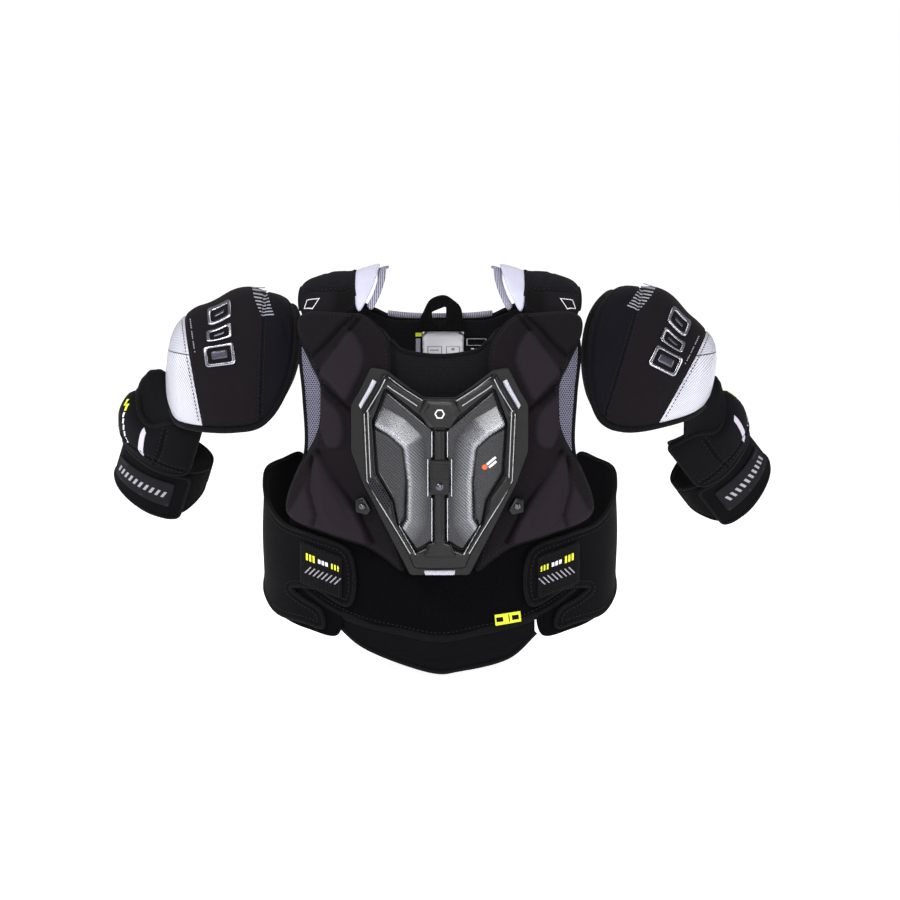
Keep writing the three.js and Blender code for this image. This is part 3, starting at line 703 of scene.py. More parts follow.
class Finish:
    """One procedural material. Its patterns are in millimetres of the piece's own cloth (fab)."""

    def __init__(self, name, roughness=0.8, metallic=0.0, **shader):
        self.material = bpy.data.materials.new(name)
        self.material.use_nodes = True
        self.tree = self.material.node_tree
        self.shader = self.tree.nodes["Principled BSDF"]
        self.shader.inputs["Roughness"].default_value = roughness
        self.shader.inputs["Metallic"].default_value = metallic
        for key, value in shader.items():
            self.shader.inputs[key.replace("_", " ")].default_value = value
        cloth = self.node("ShaderNodeAttribute")
        cloth.attribute_name = "fab"
        self.cloth = cloth.outputs["Vector"]
        split = self.node("ShaderNodeSeparateXYZ", self.cloth)
        self.u, self.v = split.outputs["X"], split.outputs["Y"]
        self.relief = split.outputs["Z"]  # how far a moulded feature stands out, in millimetres
        place = self.node("ShaderNodeTexCoord")
        self.space = place.outputs["Object"]

    def node(self, kind, *inputs):
        made = self.tree.nodes.new(kind)
        for i, value in enumerate(inputs):
            self.feed(made.inputs[i], value)
        return made

    def feed(self, socket, value):
        if hasattr(value, "is_output"):
            self.tree.links.new(value, socket)
        elif value is not None:
            socket.default_value = value

    def math(self, operation, a, b=None, c=None):
        made = self.tree.nodes.new("ShaderNodeMath")
        made.operation = operation
        for socket, value in zip(made.inputs, (a, b, c)):
            self.feed(socket, value)
        return made.outputs[0]

    def wave(self, along, pitch):
        """A sine of that pitch, from 0 to 1."""
        turn = self.math("MULTIPLY", along, 2 * math.pi / pitch)
        return self.math("MULTIPLY_ADD", self.math("SINE", turn), 0.5, 0.5)

    def weave(self, pitch):
        """Over and under threads."""
        a = self.math("SINE", self.math("MULTIPLY", self.u, math.pi / pitch))
        b = self.math("SINE", self.math("MULTIPLY", self.v, math.pi / pitch))
        return self.math("MULTIPLY_ADD", self.math("MULTIPLY", a, b), 0.5, 0.5)

    def holes(self, pitch, radius):
        """1 inside round holes set in staggered rows, 0 between them."""
        row_high = pitch * 0.866
        row = self.math("DIVIDE", self.v, row_high)
        shift = self.math("MULTIPLY", self.math("FLOORED_MODULO", self.math("FLOOR", row), 2.0), 0.5)
        column = self.math("ADD", self.math("DIVIDE", self.u, pitch), shift)
        du = self.math("MULTIPLY", self.math("SUBTRACT", self.math("FRACT", column), 0.5), pitch)
        dv = self.math("MULTIPLY", self.math("SUBTRACT", self.math("FRACT", row), 0.5), row_high)
        far = self.math("SQRT", self.math("ADD", self.math("MULTIPLY", du, du),
                                          self.math("MULTIPLY", dv, dv)))
        ramp = self.tree.nodes.new("ShaderNodeMapRange")
        self.feed(ramp.inputs["Value"], far)
        ramp.inputs["From Min"].default_value = radius * 1.15
        ramp.inputs["From Max"].default_value = radius * 0.8
        return ramp.outputs["Result"]

    def ramp(self, value, start, end, low=0.0, high=1.0):
        """A value's place between start and end, moved to low..high."""
        made = self.tree.nodes.new("ShaderNodeMapRange")
        self.feed(made.inputs["Value"], value)
        for key, number in (("From Min", start), ("From Max", end), ("To Min", low), ("To Max", high)):
            made.inputs[key].default_value = number
        return made.outputs["Result"]

    def twill(self, pitch):
        column = self.math("FLOOR", self.math("DIVIDE", self.u, pitch))
        row = self.math("FLOOR", self.math("DIVIDE", self.v, pitch))
        step = self.math("FLOORED_MODULO", self.math("ADD", column, row), 4.0)
        return self.math("LESS_THAN", step, 1.5)

    def noise(self, scale, detail=3.0, rough=0.55):
        """Noise whose spots are about 1 / scale metres wide."""
        made = self.tree.nodes.new("ShaderNodeTexNoise")
        self.feed(made.inputs["Vector"], self.space)
        made.inputs["Scale"].default_value = scale
        made.inputs["Detail"].default_value = detail
        made.inputs["Roughness"].default_value = rough
        return made.outputs["Fac"]

    def blend(self, factor, a, b):
        made = self.tree.nodes.new("ShaderNodeMix")
        made.data_type = "RGBA"
        self.feed(made.inputs["Factor"], factor)
        sockets = [s for s in made.inputs if s.type == "RGBA"]
        for socket, value in zip(sockets, (a, b)):
            self.feed(socket, value)
        return [s for s in made.outputs if s.type == "RGBA"][0]

    def spread(self, value, low, high):
        """A 0 to 1 value moved to low..high."""
        return self.math("MULTIPLY_ADD", value, high - low, low)

    def colour(self, value):
        self.feed(self.shader.inputs["Base Color"], value)

    def rough(self, value):
        self.feed(self.shader.inputs["Roughness"], value)

    def bump(self, height, depth, strength=1.0):
        """depth is in millimetres. A second call adds to the first."""
        made = self.tree.nodes.new("ShaderNodeBump")
        made.inputs["Strength"].default_value = strength
        made.inputs["Distance"].default_value = depth * MM
        self.feed(made.inputs["Height"], height)
        before = self.shader.inputs["Normal"].links
        if before:
            self.tree.links.new(before[0].from_socket, made.inputs["Normal"])
        self.tree.links.new(made.outputs["Normal"], self.shader.inputs["Normal"])

    def worn_and_highlit_edges(self, plain, worn, amount=0.6):
        """Plain colour, with a lighter tone where edges stick out: partly wear, partly a painted highlight
        along the edges. worn is that lighter colour.
        """
        edge = self.tree.nodes.new("ShaderNodeNewGeometry")
        ramp = self.tree.nodes.new("ShaderNodeMapRange")
        self.feed(ramp.inputs["Value"], edge.outputs["Pointiness"])
        ramp.inputs["From Min"].default_value = 0.53
        ramp.inputs["From Max"].default_value = 0.62
        ramp.inputs["To Max"].default_value = amount
        return self.blend(ramp.outputs["Result"], plain, worn)


CLOTH_GLOSS = 0.08  # cloth hardly mirrors the room


def woven(name, tone, pitch, depth=0.25, roughness=0.8, contrast=0.35, sheen=0.015, patch=18):
    """Plain weave cloth with thread shadows, slow changes of tone, painted shade in sunk channels and a
    painted highlight on raised shapes.
    """
    f = Finish(name, roughness, Sheen_Weight=sheen, Sheen_Roughness=0.45)
    f.shader.inputs["Specular IOR Level"].default_value = CLOTH_GLOSS
    threads = f.weave(pitch)
    dark = rgb(*[c * (1 - contrast) for c in tone])
    light = rgb(*[min(255, c * (1 + contrast)) for c in tone])
    yarn = f.blend(threads, dark, light)
    cloudy = f.blend(f.spread(f.noise(patch), 0.0, 0.4), yarn, rgb(*[c * 0.7 for c in tone]))
    # Painted shade: the colour darkens where the moulded relief sinks into a channel.
    channel_shade = f.blend(f.ramp(f.relief, 0.2, -1.6, 0.0, 0.9), cloudy, rgb(*[c * 0.2 for c in tone]))
    # Painted highlight: the colour lightens where the moulded relief stands high.
    f.colour(f.blend(f.ramp(f.relief, 0.8, 3.4, 0.0, 0.6), channel_shade, rgb(*[min(255, c * 2.0) for c in tone])))
    f.bump(threads, depth)
    f.bump(f.noise(420, 2), 0.25, 0.5)
    return f.material


def knitted(name, tone, pitch, roughness=0.7):
    """Smooth stretch knit: fine upright ribs of small loops."""
    f = Finish(name, roughness, Sheen_Weight=0.015, Sheen_Roughness=0.35)
    f.shader.inputs["Specular IOR Level"].default_value = CLOTH_GLOSS
    ribs = f.wave(f.u, pitch)
    loops = f.wave(f.math("ADD", f.v, f.math("MULTIPLY", ribs, pitch * 0.5)), pitch * 0.8)
    both = f.math("MULTIPLY", ribs, loops)
    f.colour(f.blend(f.spread(both, 0.2, 0.9), rgb(*[c * 0.72 for c in tone]),
                     rgb(*[min(255, c * 1.2) for c in tone])))
    f.rough(f.spread(f.noise(30), roughness - 0.08, roughness + 0.1))
    f.bump(both, 0.14)
    f.bump(f.noise(60, 2), 0.6, 0.35)
    return f.material


def webbing(name, tone, pitch=1.5, along="u", roughness=0.75):
    """Ribbed tape: cords run across it, with a fine thread on each."""
    f = Finish(name, roughness, Sheen_Weight=0.03, Sheen_Roughness=0.4)
    f.shader.inputs["Specular IOR Level"].default_value = CLOTH_GLOSS
    way, other = (f.u, f.v) if along == "u" else (f.v, f.u)
    ribs = f.wave(way, pitch)
    thread = f.wave(f.math("ADD", other, way), pitch * 0.5)
    f.colour(f.blend(ribs, rgb(*[c * 0.55 for c in tone]), rgb(*[min(255, c * 1.25) for c in tone])))
    f.rough(f.spread(f.noise(80), roughness - 0.1, roughness + 0.12))
    f.bump(ribs, 0.45)
    f.bump(thread, 0.12, 0.7)
    return f.material


def pile(name, tone):
    """Loop fastener fabric: short curled fibres."""
    f = Finish(name, 0.95, Sheen_Weight=0.01, Sheen_Roughness=0.6)
    f.shader.inputs["Specular IOR Level"].default_value = 0.04
    curls = f.tree.nodes.new("ShaderNodeTexVoronoi")
    f.feed(curls.inputs["Vector"], f.space)
    curls.inputs["Scale"].default_value = 620
    fluff = f.noise(900, 4, 0.7)
    both = f.math("MULTIPLY", fluff, curls.outputs["Distance"])
    f.colour(f.blend(fluff, rgb(*[c * 0.5 for c in tone]), rgb(*[min(255, c * 1.7) for c in tone])))
    f.bump(both, 1.3)
    f.bump(f.noise(45, 3), 1.2, 0.5)
    return f.material


def mesh_cloth(name, tone, hole_tone, pitch=2.6, radius=0.72):
    """Knitted mesh with round holes that show the dark foam under it."""
    f = Finish(name, 0.75, Sheen_Weight=0.03)
    f.shader.inputs["Specular IOR Level"].default_value = CLOTH_GLOSS
    gap = f.holes(pitch, radius)
    threads = f.weave(0.6)
    yarn = f.blend(threads, rgb(*[c * 0.8 for c in tone]), rgb(*[min(255, c * 1.1) for c in tone]))
    cloudy = f.blend(f.spread(f.noise(40), 0.0, 0.35), yarn, rgb(*[c * 0.65 for c in tone]))
    f.colour(f.blend(gap, cloudy, rgb(*hole_tone)))
    f.bump(f.math("SUBTRACT", 1.0, gap), 0.7)
    f.bump(threads, 0.12)
    return f.material


SILVER_SEAM = -0.066  # height of the seam that parts the film's two patterns


def silver_film():
    """Silver printed film with a slanted knurl above and upright ribs below."""
    f = Finish("silver_film", 0.34, 0.1, Coat_Weight=0.35, Coat_Roughness=0.25)
    height = f.node("ShaderNodeSeparateXYZ", f.space).outputs["Z"]
    line = f.math("MULTIPLY_ADD", f.u, 0.00012, SILVER_SEAM)
    lower = f.math("LESS_THAN", height, line)
    slant = f.wave(f.math("MULTIPLY_ADD", f.u, 0.5, f.v), 1.8)
    counter = f.wave(f.math("MULTIPLY_ADD", f.u, -1.6, f.v), 5.2)
    knurl = f.math("MULTIPLY", slant, f.spread(counter, 0.45, 1.0))
    ribs = f.math("MULTIPLY", f.wave(f.u, 2.6), f.spread(f.wave(f.v, 1.3), 0.5, 1.0))
    pattern = f.math("ADD", f.math("MULTIPLY", knurl, f.math("SUBTRACT", 1.0, lower)),
                     f.math("MULTIPLY", ribs, lower))
    tone = f.blend(pattern, rgb(150, 150, 166), rgb(250, 250, 255))
    cloudy = f.blend(f.spread(f.noise(20), 0.0, 0.5), tone, rgb(150, 150, 168))
    seam = f.math("LESS_THAN", f.math("ABSOLUTE", f.math("SUBTRACT", height, line)), 0.0006)
    f.colour(f.blend(seam, cloudy, rgb(58, 58, 68)))
    f.rough(f.spread(f.noise(60), 0.26, 0.46))
    f.bump(pattern, 0.4)
    return f.material


def soft_lining():
    f = Finish("soft_lining", 0.8, Sheen_Weight=0.15, Sheen_Roughness=0.5)
    f.colour(f.blend(f.noise(55, 3), rgb(176, 176, 198), rgb(206, 206, 224)))
    f.bump(f.weave(0.8), 0.14)
    f.bump(f.noise(300, 3), 0.4, 0.6)
    return f.material


def carbon_plate():
    """Glossy plate over a 2 and 2 twill: the two thread directions take the light apart, painted here as two
    tones. Painted shade darkens the plate's low facets, and a painted highlight runs along its ridge.
    """
    f = Finish("carbon_plate", 0.34, 0.75, Coat_Weight=0.6, Coat_Roughness=0.2)
    twill = f.twill(0.8)
    fine = f.wave(f.math("ADD", f.u, f.math("MULTIPLY", twill, f.v)), 0.4)
    tone = f.blend(twill, rgb(92, 93, 99), rgb(138, 139, 146))
    tone = f.blend(f.spread(fine, 0.0, 0.3), tone, rgb(60, 61, 66))
    tone = f.blend(f.spread(f.noise(18), 0.0, 0.6), tone, rgb(84, 85, 92))
    # Painted shade: the low facets and the hollow darken towards near black.
    painted_facet_shade = f.blend(f.ramp(f.relief, 0.2, 2.9, 0.92, 0.15), tone, rgb(16, 16, 20))
    # Painted highlight: the top of the ridge turns pale.
    f.colour(f.blend(f.ramp(f.relief, 2.6, 3.2, 0.0, 0.3), painted_facet_shade, rgb(205, 205, 214)))
    f.rough(f.spread(twill, 0.27, 0.4))
    f.bump(f.math("ADD", twill, f.math("MULTIPLY", fine, 0.3)), 0.1)
    return f.material


def moulded(name, tone, roughness=0.42, grain=0.25, worn=0.5):
    """Injection moulded plastic: fine grain, uneven gloss, and lighter edges, partly wear and partly a
    painted highlight.
    """
    f = Finish(name, roughness)
    f.shader.inputs["Specular IOR Level"].default_value = 0.3
    # The edge colour is partly wear and partly a painted highlight along the edges.
    edge_wear_and_highlight = rgb(*[min(255, c * 2.1 + 18) for c in tone])
    shade = f.blend(f.spread(f.noise(26), 0.0, 0.5), rgb(*tone), rgb(*[c * 0.7 for c in tone]))
    f.colour(f.worn_and_highlit_edges(shade, edge_wear_and_highlight, worn))
    f.rough(f.spread(f.noise(90, 4), roughness - 0.12, roughness + 0.14))
    f.bump(f.noise(1500, 2), grain * 0.3, 0.8)
    return f.material


def accent_bar():
    f = Finish("accent_bar", 0.4, 0.2, Coat_Weight=0.3, Coat_Roughness=0.3)
    lines = f.wave(f.math("MULTIPLY_ADD", f.u, 0.6, f.v), 1.5)
    # Near-white edges: partly wear, partly a painted highlight.
    f.colour(f.worn_and_highlit_edges(f.blend(lines, rgb(140, 140, 155), rgb(214, 214, 226)), rgb(240, 240, 246)))
    f.rough(f.spread(f.noise(120), 0.3, 0.55))
    f.bump(lines, 0.3)
    return f.material


def bright_metal(name, tone, roughness):
    f = Finish(name, roughness, 1.0)
    f.colour(f.blend(f.noise(160, 4), rgb(*tone), rgb(*[c * 0.75 for c in tone])))
    f.rough(f.spread(f.noise(400, 4), roughness * 0.6, roughness * 1.6))
    f.bump(f.noise(900, 3), 0.05)
    return f.material


def ink(name, tone, roughness=0.5):
    """Screen print on cloth: slightly worn, with the weave showing through."""
    f = Finish(name, roughness)
    wear = f.noise(500, 4, 0.7)
    f.colour(f.blend(f.spread(wear, 0.0, 0.35), rgb(*tone), rgb(*[c * 0.6 for c in tone])))
    f.rough(f.spread(wear, roughness - 0.1, roughness + 0.15))
    f.bump(f.weave(0.9), 0.1)
    return f.material


def satin_label():
    f = Finish("satin_label", 0.5, Sheen_Weight=0.1)
    rib = f.wave(f.v, 0.7)
    f.colour(f.blend(f.math("MULTIPLY", rib, f.noise(70)), rgb(232, 230, 238), rgb(254, 253, 255)))
    f.bump(rib, 0.12)
    f.bump(f.noise(60, 2), 1.0, 0.4)
    return f.material


def soft_rubber():
    f = Finish("soft_rubber", 0.6, Specular_IOR_Level=0.12)
    # Painted highlight: the raised rim of the patch is lighter than the rest.
    f.colour(f.blend(f.ramp(f.relief, 0.2, 0.6), f.blend(f.noise(35), rgb(12, 12, 16), rgb(19, 19, 25)),
                     rgb(42, 42, 50)))
    f.rough(f.spread(f.noise(110, 4), 0.5, 0.75))
    f.bump(f.holes(1.4, 0.4), -0.15)
    f.bump(f.noise(1200, 2), 0.08)
    return f.material


def floor_finish():
    f = Finish("pale_floor", 0.75)
    f.colour(f.blend(f.noise(4, 2), rgb(250, 250, 250), rgb(253, 253, 253)))
    f.bump(f.noise(200, 2), 0.03)
    f.shader.inputs["Emission Color"].default_value = (1, 1, 1, 1)
    f.shader.inputs["Emission Strength"].default_value = 0.78
    return f.material


CHEST = woven("chest_weave", (19, 15, 19), 1.15, 0.3)
BLACK = woven("black_weave", (8, 7, 10), 1.1, 0.25)
CAP_CLOTH = woven("cap_weave", (19, 15, 20), 1.0, 0.2, 0.72)
NAVY = knitted("navy_knit", (11, 10, 19), 0.9)
NEOPRENE = knitted("black_stretch", (7, 7, 10), 1.0, 0.85)
BINDING = webbing("binding_knit", (12, 12, 14), 1.7)
TAPE = webbing("loop_tape", (11, 11, 13), 1.6)
PIPING = woven("piping_weave", (9, 9, 11), 0.8, 0.15)
LOOP = pile("loop_pile", (4, 4, 6))
MESH_GREY = mesh_cloth("grey_mesh", (124, 124, 144), (34, 32, 42), 2.3, 0.7)
MESH_BLACK = mesh_cloth("black_mesh", (22, 20, 24), (3, 3, 4), 2.3, 0.7)
MESH_LINER = mesh_cloth("inside_mesh", (60, 60, 70), (12, 12, 14), 2.6, 0.7)
SILVER = silver_film()
LINING = soft_lining()
CARBON = carbon_plate()
PLASTIC = moulded("moulded_black", (5, 5, 7), 0.3)
DULL_PLASTIC = moulded("moulded_dull", (8, 8, 10), 0.5, 0.5, 0.35)
SHELL_PLASTIC = moulded("moulded_shell", (14, 14, 17), 0.5)
# Pale grey for strips that are painted highlights on the frame's edges.
HIGHLIGHT_PLASTIC = moulded("painted_edge_highlight", (118, 118, 128), 0.3, 0.1)
ACCENT = accent_bar()
CHROME = bright_metal("chrome_print", (176, 176, 188), 0.22)
CHROME_DARK = bright_metal("chrome_core", (92, 92, 104), 0.3)
RIVET = bright_metal("rivet_steel", (96, 96, 104), 0.26)
TRIM = moulded("trim_edge", (214, 214, 224), 0.35, 0.1)
WHITE = ink("white_print", (232, 232, 238))
SOFT_WHITE = ink("soft_white_print", (196, 190, 206))
GREY = ink("grey_print", (150, 150, 160))
LIME = ink("lime_print", (224, 234, 30))
ORANGE = ink("orange_print", (236, 96, 30))
LABEL = satin_label()
COLLAR = webbing("collar_rib", (150, 148, 166), 1.9)
RUBBER = soft_rubber()
THREAD = woven("dark_thread", (36, 35, 40), 0.4, 0.1)
PERFORATED = mesh_cloth("perforated_plastic", (52, 52, 57), (5, 5, 6), 2.4, 0.75)


# ---------------------------------------------------------------- torso front

FRONT, BACK = torso(-1), torso(1)
FRONT_LINER = [(0, -60), (-38, -54), (-54, -36), (-78, -26), (-108, -26), (-130, -34), (-136, -50),
               (-132, -100),
               (-130, -150), (-138, -190), (-138, -216), (-104, -232), (-50, -252), (0, -256)]
CHEST_PAD = [(84, -25), (107, -24), (124, -24.5), (134, -30), (134, -42), (121, -70), (113, -86), (112, -104),
             (114, -131), (125, -156), (133, -170), (143, -216), (105, -234), (68, -246), (50, -258),
             (36, -268),
             (42, -235), (62, -195), (66, -150), (66, -112), (47, -78), (49, -50), (61, -34), (74, -25.5)]
CHEST_DIAMOND = [(84, -40), (97, -53), (113, -74), (100, -90), (87, -103), (77, -86), (69, -63)]
CHEST_BLOCK = [(114, -91), (102, -101), (90, -115), (90, -146), (103, -150), (112, -128)]
CHEST_DROP = [(112, -153), (92, -184), (67, -236), (70, -246), (100, -243), (132, -228), (139, -220),
              (126, -186)]
CHEST_LENS = [(111, -164), (97, -190), (85, -213), (86, -225), (95, -229), (106, -222), (111, -200)]
CHEST_CHANNELS = [
    [(134, -45), (119, -64), (105, -52), (92, -38), (80, -28)],
    [(116, -80), (104, -66), (88, -46), (75, -30)],
    [(117, -78), (101, -95), (84, -111)],
    [(113, -152), (100, -176), (78, -210), (63, -240)],
    [(118, -158), (120, -190), (114, -215), (118, -230)],
]


def sided(points, sign):
    """The points of a piece on that side: sign is 1 for +X."""
    turned = [(x * sign, z) for x, z in points]
    return turned if sign > 0 else turned[::-1]


def whole(half):
    """A ring that is the same on both sides, from the half that starts and ends at x 0."""
    return half + mirrored(half[1:-1])


def paint(obj, choose):
    """Gives each face one of the piece's materials by the place of its middle on the cloth."""
    mesh = obj.data
    fab = np.zeros(len(mesh.vertices) * 3, np.float32)
    mesh.attributes["fab"].data.foreach_get("vector", fab)
    fab = fab.reshape(-1, 3)
    middles = np.array([fab[list(p.vertices)].mean(axis=0) for p in mesh.polygons])
    index = np.asarray(choose(middles[:, 0], middles[:, 1]), np.int32)
    mesh.polygons.foreach_set("material_index", index)


def seam_lines(place, lines, off):
    """Lines on a piece, as paths with their outward directions, for stitches."""
    out = []
    for line in lines:
        points = dense(line, 2.0, closed=False)
        level = off(points[:, 0], points[:, 1]) if callable(off) else off
        out.append(surface_line(place, points, level))
    return out


def inset_line(ring, amount):
    """The outline moved inward, closed on itself."""
    (line, _), = insets(np.asarray(ring, float), [amount])
    ring = np.asarray(ring, float)
    keep = inside(line, ring) & (distance(line, ring, True) > amount * 0.9)
    return line[keep]


def runs(line, longest=9.0):
    """A line with gaps cut where neighbouring points are far apart."""
    out, start = [], 0
    for i in range(1, len(line)):
        if np.linalg.norm(line[i] - line[i - 1]) > longest:
            out.append(line[start:i])
            start = i
    out.append(line[start:])
    return [r for r in out if len(r) > 3]


def build_front_liner():
    ring = soft(whole(FRONT_LINER), 4)
    cloth = pad("front_liner_cloth", ring, FRONT, 3.4, 0.2, [MESH_BLACK, MESH_GREY], step=6, rims=(1.5,),
                reach=2,
                body="torso")
    paint(cloth, lambda x, z: np.abs(x) > 92)
    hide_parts("front_liner")
    for side, s in SIDES.items():
        edge = sided([(54, -38), (78, -27), (108, -27), (129, -34), (135, -50), (131.5, -100), (129.5, -150),
                      (137, -190), (137, -214)], s["sign"])
        line = soft(edge, 3, closed=False)
        tape = tape_on(f"armhole_binding_{side}", FRONT, line, 2.0, oval(5.2, 4.6, 10), BINDING, body="torso")
    neck = soft([(-47, -46), (-38, -54.5), (-20, -58.5), (0, -60), (20, -58.5), (38, -54.5), (47, -46)], 3,
                closed=False)
    tape = tape_on("neck_binding", FRONT, neck, 2.2, oval(5.0, 4.4, 10), BINDING, body="torso")


def build_chest_pads():
    for side, s in SIDES.items():
        sign = s["sign"]
        shape = lambda points: sided(points, sign)
        ring = soft(shape(CHEST_PAD), 2.6)
        features = [raised(soft(shape(CHEST_DIAMOND), 2), 4.0, 4.2),
                    raised(soft(shape(CHEST_BLOCK), 2), 3.5, 3.6),
                    raised(soft(shape(CHEST_DROP), 2), 4.5, 3.4),
                    raised(soft(shape(CHEST_LENS), 2), 3.5, 2.6)]
        features += [channel(shape(c), 1.7, 3.0) for c in CHEST_CHANNELS]
        creases = [soft(shape(c), 2.0) for c in (CHEST_DIAMOND, CHEST_BLOCK, CHEST_DROP, CHEST_LENS)]
        creases += [dense(shape(c), 2.0, closed=False) for c in CHEST_CHANNELS]
        name = f"chest_cloth_{side}"
        cloth = pad(name, ring, FRONT, 16.2, 5.0, CHEST, step=2.6, features=features, reach=8,
                    edge_at=0.3, puff=1.2, body="torso", lines=creases)
        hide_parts(f"chest_pad_{side}")
        piping = tape_on(f"chest_piping_{side}", FRONT, ring, 8.2, oval(3.0, 3.0, 8), PIPING, closed=True,
                         body="torso")
        level = height_of(name)
        rows = runs(inset_line(ring, 4.2))
        lines = [surface_line(FRONT, r, level(r[:, 0], r[:, 1]) + 0.1) for r in rows]
        sewn = stitches(f"chest_stitches_{side}", lines, THREAD, "torso")


# ---------------------------------------------------------------- sternum guard

STERNUM_FOAM = [(0, -104), (15, -101), (44, -80), (62, -114), (62, -150), (58, -194), (38, -234),
                (30, -262), (0, -262)]
BASE_HALF = [(-64, -72), (-82, -106), (-82, -151), (-71, -184), (-28, -272)]
BASE_NOTCH = [(50, -74), (15, -98), (-15, -98), (-50, -74)]
FRAME_HALF = [(-53, -78), (-71, -112), (-68, -181), (-29, -252), (-24, -265)]
FRAME_NOTCH = [(50, -77), (15, -99), (-15, -99), (-50, -77)]
OPENING = [(50, -90), (61, -122), (58, -172), (43, -199), (39, -221), (22, -248), (6, -240), (6, -128),
           (20, -116)]
STRUT = [(-5, -129), (5, -129), (5, -238), (11, -240), (16, -253), (-16, -253), (-11, -240), (-5, -238)]
HUB = [(-13, -100), (13, -100), (20, -112), (10, -127.5), (-10, -127.5), (-20, -112)]
SLEEVE = [(-9, -158), (9, -158), (9, -192), (-9, -192)]
ACCENT_BAR = [(58, -84), (62, -82), (74.5, -106), (72.5, -110)]
INSERT = [(61, -174), (46, -197), (46, -207), (53, -203), (65, -183)]
LUG = [(78, -198), (70, -195), (63, -208), (67, -214), (78, -211)]
RIVET_AT = (71.5, -205)
PLATE_RIDGE = [(60, -124), (44, -134), (32, -146), (28, -180), (29, -217), (36, -229)]
PLATE_HOLLOW = [(60, -125), (45, -136), (33, -148), (30, -180), (30, -216), (37, -230), (42, -214),
                (44, -200),
                (57, -173)]
PLATE_RISE, PLATE_SINK = 3.2, 1.6


def shrunk(points, amount):
    p = np.array(points, float)
    out = p.mean(0) - p
    return p + out / np.linalg.norm(out, axis=1, keepdims=True) * amount


def ring_round(x, z, radius, count=24):
    turns = [2 * math.pi * i / count for i in range(count)]
    return [(x + radius * math.cos(a), z + radius * math.sin(a)) for a in turns]


def hard(name, points, layer, material, slot, nodes, radius=1.0, reach=1.2, step=3.0, **more):
    """A moulded plate on the front, with rounded corners and edges."""
    ring = dense(rounded(points, radius), 2.4)
    part = pad(name, ring, FRONT, layer[1], layer[0], material, step=step, rims=(0.35, 0.9, 1.8), reach=reach,
               edge_at=0.3, body="torso", **more)
    if nodes:
        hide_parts(*nodes)
    return part


def build_sternum():
    core = dense(whole(STERNUM_FOAM), 3)
    foam = pad("sternum_foam_cloth", core, FRONT, 17.0, 5.0, NEOPRENE, step=6, reach=5, body="torso")
    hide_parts("sternum_foam")
    base = [*BASE_HALF, *mirrored(BASE_HALF), *BASE_NOTCH]
    hard("sternum_base_plate", base, (18, 21), DULL_PLASTIC, "frame", ["sternum_base"], 3.0, step=5)
    build_frame()
    for side, s in SIDES.items():
        build_window(side, s["sign"])
    build_spine()


def build_frame():
    outer = [*FRAME_HALF, *mirrored(FRAME_HALF), *FRAME_NOTCH]
    ring = dense(rounded(outer, 3.0), 2.2)
    openings = [dense(rounded(sided(OPENING, sign), 2.0), 2.2) for sign in (1, -1)]
    ribs = []
    for sign in (1, -1):
        for inset, height in ((1.6, 1.0), (4.6, 0.9)):
            side_line = sided([(70.5 - inset, -116), (68 - inset, -179), (50 - inset, -214)], sign)
            ribs.append(ridge_line(side_line, 1.0, height))
        ribs.append(ridge_line(sided([(47, -83), (17, -103)], sign), 1.6, 1.2))
        ribs.append(channel(sided([(53, -84), (66, -112), (58, -121)], sign), 0.9, 1.0))
        ribs.append(ridge_line(sided([(57, -205), (30, -250)], sign), 1.2, 1.1))
    rim = pad("sternum_rim", ring, FRONT, 28.2, 21.8, PLASTIC, step=2.0, rims=(0.4, 1.0, 1.9), reach=2.6,
              edge_at=0.15,
              holes=openings, features=ribs, power=1.6, body="torso")
    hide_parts("sternum_frame")
    build_frame_highlights()


# Lines along the frame's edges where the painted highlight strips lie.
FRAME_HIGHLIGHT_LINES = [
    [(-68.6, -114), (-66, -179), (-61, -190), (-27.5, -250)],
    [(-65.4, -112), (-63, -176)],
    [(-50, -82), (-66.5, -112)],
    [(-47, -80.5), (-16, -101)],
    [(-48, -87), (-21, -106)],
    [(-38, -223), (-22.5, -251)],
    [(-58, -196), (-33, -240)],
]


def build_frame_highlights():
    """Thin pale strips along the frame's edges: a painted highlight where the edges catch the light."""
    level = height_of("sternum_rim")
    for sign in (1, -1):
        for k, edge in enumerate(FRAME_HIGHLIGHT_LINES):
            line = dense([(-x * sign, z) for x, z in edge], 2.0, closed=False)
            off = level(line[:, 0], line[:, 1]) + 0.15
            name = f"frame_highlight_strip_{'left' if sign > 0 else 'right'}_{k}"
            highlight_tape = tape_on(name, FRONT, line, off, oval(0.9, 0.9, 6), HIGHLIGHT_PLASTIC, body="torso")


